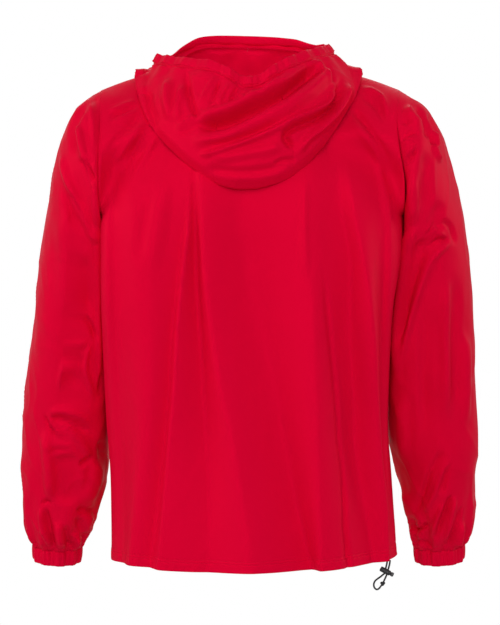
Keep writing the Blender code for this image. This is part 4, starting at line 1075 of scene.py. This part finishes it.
def casing_piece(grids):
    """The rim's drawcord casing, gathered behind and at the sides, and its stitch line."""
    casing, turns = grids.casing, grids.turns
    normals = -outward_round(casing)
    depth = lengths_along(casing, 0)
    gathered = ease((128 - np.abs(turns)) / 35)[None, :]
    angle = np.radians(turns)[None, :]
    ripple = np.cos(CASING_GATHERS * angle) * (1 + 0.3 * np.sin(angle * 5))
    fine = np.cos(3 * CASING_GATHERS * angle + 1.5 * np.sin(4 * angle))
    share = depth / depth[-1:]
    pinch = ease(share / 0.25)
    height = gathered * (CASING_RIPPLE * ripple * pinch * (1 - 0.2 * share) + 0.5 * fine * pinch)
    # The cord inside fills the casing out.
    height += 0.6 * np.sin(math.pi * np.clip((share - 0.12) / 0.88, 0, 1)) ** 0.8
    height += stitch_grooves(depth, CASING_STITCH_LINES, CASING_STITCH_SINK)
    height += 0.3 * uneven(casing, size=30, drawn_out=1.0, seed=81)
    points = casing + normals * height[..., None]
    lines = rows_at(points, normals, depth, CASING_STITCH_LINES)
    points, normals = turned_under(points, normals, CASING_UNDER)
    return turned_in(points, normals, ends=("first",)), lines


# ---------------------------------------------------------------- making meshes


def new_mesh(name, verts, faces, uvs=None):
    """A smooth-shaded mesh object from points in millimetres."""
    data = bpy.data.meshes.new(name)
    data.from_pydata((np.asarray(verts) * MM).tolist(), [], [list(face) for face in faces])
    if uvs is not None:
        layer = data.uv_layers.new(name="cloth")
        layer.data.foreach_set("uv", np.asarray(uvs, np.float32).reshape(-1))
    data.shade_smooth()
    item = bpy.data.objects.new(name, data)
    bpy.context.scene.collection.objects.link(item)
    return item


def cloth_piece(name, points, outside, closed, material, node):
    """A thin cloth wall on a grid of points, with a weave map in metres."""
    rows, columns = points.shape[:2]
    spans = columns if closed else columns - 1
    row, column = np.meshgrid(np.arange(rows - 1), np.arange(spans), indexing="ij")
    beside = (column + 1) % columns
    corners = [row * columns + column, row * columns + beside]
    corners += [(row + 1) * columns + beside, (row + 1) * columns + column]
    ring = np.concatenate([points, points[:, :1]], axis=1) if closed else points
    weft = lengths_along(ring, 1).mean(axis=0) * MM
    warp = lengths_along(ring, 0).mean(axis=1) * MM
    maps = [(weft[column], warp[row]), (weft[column + 1], warp[row])]
    maps += [(weft[column + 1], warp[row + 1]), (weft[column], warp[row + 1])]
    if outside < 0:
        corners.reverse()
        maps.reverse()
    faces = np.stack(corners, -1).reshape(-1, 4)
    uvs = np.stack([np.stack(pair, -1) for pair in maps], -2).reshape(-1, 2)
    item = new_mesh(name, points.reshape(-1, 3), faces, uvs)
    item.data.materials.append(material)
    wall = item.modifiers.new("wall", "SOLIDIFY")
    wall.thickness = WALL * MM
    wall.offset = -1
    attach(item, "root")
    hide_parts(node)
    return item


def evenly(points, normals, pitch, closed):
    """Places every pitch along a line, with the way it runs and the way out of the cloth."""
    if closed:
        points = np.concatenate([points, points[:1]])
        normals = np.concatenate([normals, normals[:1]])
    run = lengths_along(points)
    count = int(run[-1] / pitch)
    at = (np.arange(count) + 0.5) * run[-1] / count
    places = along_line(points, run, at)
    ways = along_line(points, run, at + 0.5) - along_line(points, run, at - 0.5)
    outs = along_line(normals, run, at)
    ways = unit(ways)
    outs -= ways * (outs * ways).sum(-1, keepdims=True)
    return places, ways, unit(outs)


def stitches(name, lines, closed, material):
    """Every stitch of one piece's sewing as one mesh: short rounded bars lying in the cloth."""
    shape = [(-0.5, 0, -0.15)]
    for end in (-0.3, 0.3):
        shape += [(end, 0.5, 0), (end, 0, 0.42), (end, -0.5, 0), (end, 0, -0.3)]
    shape += [(0.5, 0, -0.15)]
    shape = np.array(shape) * (STITCH_LENGTH, STITCH_WIDTH, 1.0)
    pattern = [(0, 2, 1), (0, 3, 2), (0, 4, 3), (0, 1, 4)]
    pattern += [(1, 2, 6, 5), (2, 3, 7, 6), (3, 4, 8, 7), (4, 1, 5, 8)]
    pattern += [(9, 5, 6), (9, 6, 7), (9, 7, 8), (9, 8, 5)]
    verts = []
    faces = []
    for points, normals in lines:
        places, ways, outs = evenly(points, normals, STITCH_PITCH, closed)
        across = np.cross(outs, ways)
        for place, way, out, side in zip(places, ways, outs, across):
            first = len(shape) * len(verts)
            verts.append(place + shape @ np.array([way, side, out]))
            faces += [[first + corner for corner in face] for face in pattern]
    item = new_mesh(name, np.concatenate(verts), faces)
    item.data.materials.append(material)
    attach(item, "root")
    return item


def lathed(name, start, end, profile, material, sides=40, relief=None):
    """A turned piece between two places. profile holds (distance from the start, radius), and
    relief may change the radius by the angle and the distance."""
    way = Vector(end) - Vector(start)
    turned = np.array(way.to_track_quat("Z", "Y").to_matrix())
    angle = np.linspace(0, 2 * math.pi, sides, endpoint=False)
    verts = []
    for distance, radius in profile:
        around = radius * np.ones(sides)
        if relief:
            around = around + relief(angle, distance)
        ring = np.stack([around * np.cos(angle), around * np.sin(angle), np.full(sides, distance)], -1)
        verts.append(ring @ turned.T + np.array(start))
    faces = []
    for ring in range(len(profile) - 1):
        for side in range(sides):
            beside = (side + 1) % sides
            low, high = ring * sides, (ring + 1) * sides
            faces.append((low + side, low + beside, high + beside, high + side))
    faces.append(tuple(range(sides))[::-1])
    faces.append(tuple(range((len(profile) - 1) * sides, len(profile) * sides)))
    item = new_mesh(name, np.concatenate(verts), faces)
    item.data.materials.append(material)
    return item


def tube(name, line, radius, sides, material, relief=None, closed=False):
    """A round tube along a line of points, with a map round it and along it in metres."""
    line = np.asarray(line, float)
    if closed:
        ways = np.roll(line, -1, axis=0) - np.roll(line, 1, axis=0)
    else:
        ways = np.gradient(line, axis=0)
    ways = unit(ways)
    aside = unit(np.cross(ways[0], (0.0, 1.0, 0.0)))
    run = lengths_along(line)
    angle = np.linspace(0, 2 * math.pi, sides, endpoint=False)
    verts = []
    for point, way, at in zip(line, ways, run):
        aside = unit(aside - way * (aside @ way))
        other = np.cross(way, aside)
        around = radius * np.ones(sides)
        if relief:
            around = around + relief(angle, at)
        ring = np.cos(angle)[:, None] * aside + np.sin(angle)[:, None] * other
        verts.append(point + ring * around[:, None])
    faces = []
    uvs = []
    count = len(line)
    for ring in range(count if closed else count - 1):
        low, high = ring * sides, (ring + 1) % count * sides
        start, stop = run[ring] * MM, (run[ring] + (run[1] - run[0])) * MM
        for side in range(sides):
            beside = (side + 1) % sides
            faces.append((low + side, low + beside, high + beside, high + side))
            left, right = side / sides * CORD_MAP_WIDTH, (side + 1) / sides * CORD_MAP_WIDTH
            uvs += [(left, start), (right, start), (right, stop), (left, stop)]
    if not closed:
        faces.append(tuple(range(sides))[::-1])
        faces.append(tuple(range((count - 1) * sides, count * sides)))
        uvs += [(0, 0)] * (2 * sides)
    item = new_mesh(name, np.concatenate(verts), faces, uvs)
    item.data.materials.append(material)
    return item


# ---------------------------------------------------------------- materials


def group_sockets(tree, inputs, outputs):
    """A group's named inputs and outputs, and the two nodes that stand for them inside it."""
    for name, kind, value in inputs:
        socket = tree.interface.new_socket(name, in_out="INPUT", socket_type=kind)
        if value is not None:
            socket.default_value = value
    for name in outputs:
        tree.interface.new_socket(name, in_out="OUTPUT", socket_type="NodeSocketFloat")
    return tree.nodes.new("NodeGroupInput").outputs, tree.nodes.new("NodeGroupOutput")


def feed(tree, node, inputs):
    """Links a node's inputs to sockets, or sets them to values."""
    for name, value in inputs.items():
        if isinstance(value, bpy.types.NodeSocket):
            tree.links.new(value, node.inputs[name])
        elif value is not None:
            node.inputs[name].default_value = value


def put(tree, kind, inputs, **settings):
    """A new node with its settings and inputs."""
    node = tree.nodes.new(kind)
    for name, value in settings.items():
        setattr(node, name, value)
    feed(tree, node, inputs)
    return node


def math_of(tree, operation, first, second=0.0):
    return put(tree, "ShaderNodeMath", {0: first, 1: second}, operation=operation).outputs[0]


def noise(tree, place, scale, detail=None, roughness=None, **settings):
    inputs = {"Vector": place, "Scale": scale, "Detail": detail, "Roughness": roughness}
    return put(tree, "ShaderNodeTexNoise", inputs, **settings).outputs["Fac"]


def spread(tree, value, low, high, to_low, to_high):
    """A value stretched from one range over another."""
    inputs = {"Value": value, "From Min": low, "From Max": high, "To Min": to_low, "To Max": to_high}
    return put(tree, "ShaderNodeMapRange", inputs).outputs["Result"]


def bump(tree, height, distance, strength, beneath=None):
    """Normals raised by a height that is worth distance millimetres, on other normals beneath."""
    inputs = {"Height": height, "Distance": distance * MM, "Strength": strength, "Normal": beneath}
    return put(tree, "ShaderNodeBump", inputs).outputs["Normal"]


def blend_colours(tree, share, first, second):
    inputs = {"Factor": share, "A": (*first, 1), "B": (*second, 1)}
    return put(tree, "ShaderNodeMix", inputs, data_type="RGBA").outputs["Result"]


def weave_group():
    """Crossing threads: their height, and painted shade: raised threads lighter, hollows darker."""
    tree = bpy.data.node_groups.new("woven threads", "ShaderNodeTree")
    given, end = group_sockets(
        tree,
        [
            ("Map", "NodeSocketVector", None),
            ("Threads per metre", "NodeSocketFloat", 2200.0),
            ("Slub", "NodeSocketFloat", 0.3),
        ],
        ["Height", "Tone"],
    )
    turns = math_of(tree, "MULTIPLY", given["Threads per metre"], 2 * math.pi)
    parts = put(tree, "ShaderNodeSeparateXYZ", {0: given["Map"]})
    weft = math_of(tree, "SINE", math_of(tree, "MULTIPLY", parts.outputs["X"], turns))
    warp = math_of(tree, "SINE", math_of(tree, "MULTIPLY", parts.outputs["Y"], turns))
    crossing = math_of(tree, "MULTIPLY", weft, warp)
    slub = noise(tree, given["Map"], 900.0, 2.0)
    uneven_thread = math_of(tree, "MULTIPLY", slub, given["Slub"])
    height = math_of(tree, "ADD", math_of(tree, "MULTIPLY", crossing, 0.5), uneven_thread)
    # Painted shade: the weave's colour is darker where its threads lie low.
    weave_shade = math_of(tree, "ADD", math_of(tree, "MULTIPLY", height, 0.5), 0.5)
    feed(tree, end, {"Height": height, "Tone": weave_shade})
    return tree


def crumple_group():
    """The fine crumple of light cloth: soft bumps and a few keen creases, by place on the piece."""
    tree = bpy.data.node_groups.new("fine crumple", "ShaderNodeTree")
    given, end = group_sockets(
        tree,
        [
            ("Place", "NodeSocketVector", None),
            ("Bumps per metre", "NodeSocketFloat", 26.0),
            ("Drawn out", "NodeSocketFloat", 0.4),
        ],
        ["Height", "Shade"],
    )
    drawn = put(tree, "ShaderNodeCombineXYZ", {"X": 1.0, "Y": 1.0, "Z": given["Drawn out"]}).outputs[0]
    place = put(
        tree, "ShaderNodeVectorMath", {0: given["Place"], 1: drawn}, operation="MULTIPLY"
    ).outputs[0]
    soft = noise(tree, place, given["Bumps per metre"], 3.0)
    finer = math_of(tree, "MULTIPLY", given["Bumps per metre"], 2.7)
    keen = noise(tree, place, finer, 1.0, noise_type="RIDGED_MULTIFRACTAL")
    height = math_of(tree, "ADD", soft, math_of(tree, "MULTIPLY", keen, 0.06))
    feed(tree, end, {"Height": height, "Shade": noise(tree, place, 5.0, 2.0)})
    return tree


def wear_group():
    """Fine scuffs, denser in some places than in others."""
    tree = bpy.data.node_groups.new("scuffs", "ShaderNodeTree")
    given, end = group_sockets(
        tree,
        [
            ("Place", "NodeSocketVector", None),
            ("Scuffs per metre", "NodeSocketFloat", 700.0),
            ("Amount", "NodeSocketFloat", 0.3),
        ],
        ["Mask", "Height"],
    )
    grain = noise(tree, given["Place"], given["Scuffs per metre"], 4.0, 0.7)
    patches = noise(tree, given["Place"], 120.0, 1.0)
    mask = spread(tree, math_of(tree, "MULTIPLY", grain, patches), 0.26, 0.46, 0.0, 1.0)
    shown = math_of(tree, "MULTIPLY", mask, given["Amount"])
    feed(tree, end, {"Mask": shown, "Height": grain})
    return tree


def new_material(name):
    """A material, its nodes, its shader, and the places on the piece that wears it."""
    material = bpy.data.materials.new(name)
    material.use_nodes = True
    tree = material.node_tree
    places = tree.nodes.new("ShaderNodeTexCoord").outputs["Object"]
    return material, tree, tree.nodes["Principled BSDF"], places


def placed(tree, group, inputs):
    """A shader node group put into a material."""
    node = tree.nodes.new("ShaderNodeGroup")
    node.node_tree = group
    feed(tree, node, inputs)
    return node.outputs


def cloth_map(tree):
    return put(tree, "ShaderNodeUVMap", {}, uv_map="cloth").outputs["UV"]


def shell_cloth(name, weave, crumple, bumps, drawn_out, crumple_depth):
    """Red satin-faced poplin. bumps is how many crumples lie on a metre."""
    material, tree, shader, places = new_material(name)
    threads = placed(tree, weave, {"Map": cloth_map(tree), "Threads per metre": 2200.0, "Slub": 0.35})
    creases = placed(
        tree, crumple, {"Place": places, "Bumps per metre": bumps, "Drawn out": drawn_out}
    )
    # The colour mixes painted shade in the weave's hollows with a random tone over the piece.
    weave_shade = math_of(tree, "MULTIPLY", threads["Tone"], 0.35)
    shade = math_of(tree, "MULTIPLY", creases["Shade"], 0.65)
    share = math_of(tree, "ADD", weave_shade, shade)
    crumpled = bump(tree, creases["Height"], crumple_depth, 1.0)
    feed(
        tree,
        shader,
        {
            "Base Color": blend_colours(tree, share, DEEP_AND_SHADED_RED, RED),
            "Roughness": spread(tree, share, 0.2, 0.8, 0.56, 0.50),
            "Normal": bump(tree, threads["Height"], 0.03, 0.5, crumpled),
            "Metallic": 0.08,
            "Specular IOR Level": 0.05,
            "Specular Tint": (1.0, 0.06, 0.15, 1),
        },
    )
    return material


def sewing_thread(weave):
    material, tree, shader, places = new_material("red sewing thread")
    twist = placed(tree, weave, {"Map": places, "Threads per metre": 2600.0, "Slub": 0.2})
    # The thread's colour is painted darker in the hollows of its twist.
    feed(
        tree,
        shader,
        {
            "Base Color": blend_colours(tree, twist["Tone"], DEEP_AND_SHADED_RED, THREAD_RED),
            "Roughness": 0.45,
            "Normal": bump(tree, twist["Height"], 0.05, 0.6),
            "Specular IOR Level": 0.3,
            "Specular Tint": (1.0, 0.3, 0.35, 1),
        },
    )
    return material


def braided_cord(name, weave, scuffs):
    material, tree, shader, places = new_material(name)
    strands = placed(tree, weave, {"Map": cloth_map(tree), "Threads per metre": 1500.0, "Slub": 0.4})
    worn = placed(tree, scuffs, {"Place": places, "Scuffs per metre": 900.0, "Amount": 0.45})
    feed(
        tree,
        shader,
        {
            "Base Color": blend_colours(tree, worn["Mask"], BLACK, WORN_BLACK),
            "Roughness": 0.62,
            "Normal": bump(tree, strands["Height"], 0.12, 0.8),
            "Sheen Weight": 0.25,
            "Sheen Roughness": 0.5,
        },
    )
    return material


def moulded_plastic(name, scuffs, base, worn_tone):
    material, tree, shader, places = new_material(name)
    worn = placed(tree, scuffs, {"Place": places, "Scuffs per metre": 1600.0, "Amount": 0.5})
    feed(
        tree,
        shader,
        {
            "Base Color": blend_colours(tree, worn["Mask"], base, worn_tone),
            "Roughness": spread(tree, worn["Height"], 0.3, 0.7, 0.30, 0.48),
            "Normal": bump(tree, worn["Height"], 0.04, 0.4),
        },
    )
    return material


def pale_floor():
    material, tree, shader, places = new_material("pale studio floor")
    grain = noise(tree, places, 3.0)
    feed(tree, shader, {"Base Color": blend_colours(tree, grain, PALE, PALER), "Roughness": 0.85})
    return material


# ---------------------------------------------------------------- the camera, light and floor

CAMERA_DISTANCE = 3.4
CAMERA_DROP = 361.35  # level with the middle of the garment
FRAME_HEIGHT = 912.5  # millimetres that the frame takes in at the garment's middle
SENSOR = 36.0
FLOOR_DROP = 1450.0
FLOOR_HALF = 2.6


def camera():
    data = bpy.data.cameras.new("camera")
    data.sensor_width = SENSOR
    data.lens = SENSOR * CAMERA_DISTANCE / (FRAME_HEIGHT * MM)
    data.clip_end = 100
    item = bpy.data.objects.new("camera", data)
    item.location = (0, CAMERA_DISTANCE, -CAMERA_DROP * MM)
    item.rotation_euler = (math.pi / 2, 0, math.pi)
    bpy.context.scene.collection.objects.link(item)
    bpy.context.scene.camera = item


Lamp = namedtuple("Lamp", "name place size power spread target", defaults=(70, (0, 0, -0.35)))
LAMPS = [
    Lamp("back fill", (0.0, 3.7, 0.2), 1.8, 5),
    Lamp("back high fill", (0.2, 3.0, 2.1), 1.6, 3.5),
    Lamp("left key", (3.3, 0.9, 0.6), 1.6, 6.5),
    Lamp("right fill", (-3.3, 1.2, 0.4), 1.6, 1.6),
    Lamp("neck fill", (0.0, 0.03, -0.06), 0.10, 0.035, 120, (0, -0.1, 0.05)),
    Lamp("front fill", (0.0, -3.7, 0.2), 1.8, 6),
    Lamp("front high fill", (-0.2, -3.0, 2.1), 1.6, 3.5),
    Lamp("front right key", (-3.3, -0.9, 0.6), 1.6, 5),
]


def soft_light(lamp):
    """A square lamp that faces its target, unseen by the camera. Places and sizes are in metres."""
    data = bpy.data.lights.new(lamp.name, "AREA")
    data.shape = "SQUARE"
    data.size = lamp.size
    data.energy = lamp.power
    data.spread = math.radians(lamp.spread)
    item = bpy.data.objects.new(lamp.name, data)
    item.location = lamp.place
    way = Vector(lamp.target) - Vector(lamp.place)
    item.rotation_euler = way.to_track_quat("-Z", "Y").to_euler()
    item.visible_camera = False
    bpy.context.scene.collection.objects.link(item)


def studio():
    """Soft lamps on every side, a pale surround, and a pale floor well below the garment."""
    for lamp in LAMPS:
        soft_light(lamp)
    world = bpy.data.worlds.new("pale surround")
    bpy.context.scene.world = world
    world.use_nodes = True
    tree = world.node_tree
    shown = tree.nodes["Background"]
    feed(tree, shown, {"Color": WHITE, "Strength": 1.0})
    # The surround is brightest behind and before the garment, and dimmer above and at its sides.
    sky = tree.nodes.new("ShaderNodeTexCoord").outputs["Generated"]
    way = put(tree, "ShaderNodeSeparateXYZ", {0: sky}).outputs
    across = math_of(tree, "MULTIPLY", way["Y"], way["Y"])
    strength = math_of(tree, "ADD", math_of(tree, "MULTIPLY", across, 0.60), 0.24)
    strength = math_of(tree, "ADD", math_of(tree, "MULTIPLY", way["X"], 0.08), strength)
    strength = math_of(tree, "ADD", math_of(tree, "MULTIPLY", way["Z"], 0.10), strength)
    lit = put(tree, "ShaderNodeBackground", {"Color": WHITE, "Strength": strength}).outputs[0]
    seen = tree.nodes.new("ShaderNodeLightPath").outputs["Is Camera Ray"]
    both = put(tree, "ShaderNodeMixShader", {"Fac": seen, 1: lit, 2: shown.outputs["Background"]})
    feed(tree, tree.nodes["World Output"], {"Surface": both.outputs["Shader"]})
    signs = [(-1, -1), (1, -1), (1, 1), (-1, 1)]
    corners = [(FLOOR_HALF * x, FLOOR_HALF * y, -FLOOR_DROP * MM) for x, y in signs]
    data = bpy.data.meshes.new("floor")
    data.from_pydata(corners, [], [(0, 1, 2, 3)])
    floor = bpy.data.objects.new("floor", data)
    floor.data.materials.append(pale_floor())
    bpy.context.scene.collection.objects.link(floor)
    bpy.context.scene.view_settings.view_transform = "Standard"


# ---------------------------------------------------------------- the pieces


def lock_and_knot(plastic, button_plastic, cord_finish):
    """The barrel lock with its push button, and the knot at the end of the loop."""
    ends = [from_drop(*end) for end in LOCK_ENDS]
    way = (ends[1] - ends[0]) / np.linalg.norm(ends[1] - ends[0])
    seat = ends[1] - way * PLUNGER_LENGTH
    length = np.linalg.norm(seat - ends[0])
    r = LOCK_RADIUS
    profile = [(0, r - 1.5), (0.25, r - 0.7), (0.8, r - 0.12), (1.5, r)]
    profile += [(length * share, r) for share in np.linspace(0.18, 0.80, 16)]
    profile += [(length - 1.9, r), (length - 1.6, r - 0.35), (length - 1.3, r), (length - 0.5, r - 0.05)]
    profile += [(length - 0.15, r - 0.35), (length, r - 0.9)]

    def ribs(angle, distance):
        """Moulded grip ribs along the barrel."""
        held = ease((distance - 2.2) / 1.2) * ease((length - 3.4 - distance) / 1.2)
        return -GRIP_DEPTH * held * (0.5 + 0.5 * np.cos(GRIP_RIBS * angle))

    body = lathed("lock_barrel", ends[0], seat, profile, plastic, sides=60, relief=ribs)
    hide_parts("cord_lock_barrel")
    start = seat + way * PLUNGER_GAP
    reach = PLUNGER_LENGTH - PLUNGER_GAP
    r = PLUNGER_RADIUS
    profile = [(0, r - 0.9), (0.01, r - 0.5), (1.2, r - 0.5), (1.4, r), (reach - 1.0, r)]
    profile += [(reach - 0.45, r - 0.15), (reach - 0.12, r - 0.55), (reach, r - 1.2)]
    button = lathed("lock_button", start, ends[1], profile, button_plastic, sides=40)
    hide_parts("cord_lock_plunger")
    # An overhand knot drawn tight: a short tube that winds three times through itself.
    share = np.linspace(0, 2 * math.pi, 90, endpoint=False)
    x = (np.sin(share) + 2 * np.sin(2 * share)) * KNOT_SIZE
    y = (np.cos(share) - 2 * np.cos(2 * share)) * KNOT_SIZE
    z = -np.sin(3 * share) * KNOT_SIZE * 1.15
    line = np.stack([x, z, y * 0.92], -1) + from_drop(*KNOT_MIDDLE)
    knot = tube("loop_knot", line, CORD_RADIUS, 16, cord_finish, closed=True)
    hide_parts("cord_knot")
    for item, spot in ((body, "lock_plastic"), (button, "lock_plastic"), (knot, "cord")):
        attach(item, "root")
    return body, button, knot


def drawcord(finish, carried):
    """The cord as one braided tube from the hem, round its loop, and back to the hem."""
    route = [from_drop(*place) for place in CORD_LINE]
    line = curve_through(route, 12 * len(route))
    run = lengths_along(line)
    line = along_line(line, run, np.linspace(0, run[-1], int(run[-1] / CORD_STEP)))

    def braid(angle, at):
        """Strands that cross over and under as they wind both ways round the cord."""
        turn = 2 * math.pi * at / BRAID_PITCH
        strands = np.cos(BRAID_STRANDS * angle + turn) * np.cos(BRAID_STRANDS * angle - turn)
        return BRAID_DEPTH * strands - BRAID_DEPTH / 2

    cord = tube("hem_drawcord", line, CORD_RADIUS, 24, finish, relief=braid)
    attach(cord, "root")
    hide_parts("hem_cord_down", "hem_cord_back", "hem_cord_loop_out", "hem_cord_loop_back")


def body_pieces(cloth, thread):
    for name, face, columns, rows, crests, folds, seed in (
        ("back_cloth", 1, 190, 215, BACK_CRESTS, BACK_FOLDS, 11),
        ("front_cloth", -1, 120, 150, [], FRONT_FOLDS, 21),
    ):
        points, normals, above = body_panel(face, columns, rows, crests, folds, seed)
        lines = rows_at(points, normals, above, HEM_STITCH_LINES)
        points, normals = turned_under(points, normals, HEM_UNDER)
        points = turned_in(points, normals, ("first", "last"), ("first",), ALLOWANCE_LEAN)
        node = "back_panel" if face > 0 else "front_panel"
        piece = cloth_piece(name, points, face, False, cloth, node)
        sewing = stitches(name + "_hem_stitches", lines, False, thread)


def sleeve_and_cuff(name, rings, side, folds, seed, cloth, gathered_cloth, thread):
    points = sleeve_piece(rings, side, folds, 150, 215, seed)
    piece = cloth_piece(name + "_sleeve_cloth", points, -side, True, cloth, "sleeve_" + name)
    points, lines = cuff_piece(rings, side, 220)
    cuff = cloth_piece(name + "_cuff_cloth", points, -side, True, gathered_cloth, "cuff_" + name)
    sewing = stitches(name + "_cuff_stitches", lines, True, thread)


def hood(cloth, gathered_cloth, thread):
    samples = body_samples()
    grids = hood_grids(samples, side_columns=130, middle_columns=60, under_rows=26, over_rows=70)
    for name, points, flat in zip(
        ("hood_right", "hood_centre", "hood_left"),
        hood_cloth(grids),
        ((0.34, 0.20), (0.12, 0.32), (0.34, 0.20)),
    ):
        piece = cloth_piece(name + "_cloth", points, -1, False, cloth, name)
    points, lines = casing_piece(grids)
    casing = cloth_piece("hood_casing_cloth", points, -1, True, gathered_cloth, "hood_casing")
    sewing = stitches("hood_casing_stitches", lines, True, thread)


def main():
    camera()
    studio()
    weave = weave_group()
    crumple = crumple_group()
    scuffs = wear_group()
    cloth = shell_cloth("red poplin", weave, crumple, bumps=26.0, drawn_out=0.4, crumple_depth=0.9)
    gathered_cloth = shell_cloth(
        "gathered red poplin", weave, crumple, bumps=60.0, drawn_out=0.8, crumple_depth=0.7
    )
    thread = sewing_thread(weave)
    cord_finish = braided_cord("black braided cord", weave, scuffs)
    plastic = moulded_plastic("black moulded plastic", scuffs, BLACK, WORN_BLACK)
    button_plastic = moulded_plastic("grey moulded plastic", scuffs, GREY, WORN_GREY)
    drawcord(cord_finish, lock_and_knot(plastic, button_plastic, cord_finish))
    body_pieces(cloth, thread)
    sleeve_and_cuff("left", LEFT_SLEEVE, 1, LEFT_SLEEVE_FOLDS, 31, cloth, gathered_cloth, thread)
    sleeve_and_cuff("right", RIGHT_SLEEVE, -1, RIGHT_SLEEVE_FOLDS, 41, cloth, gathered_cloth, thread)
    hood(cloth, gathered_cloth, thread)


main()
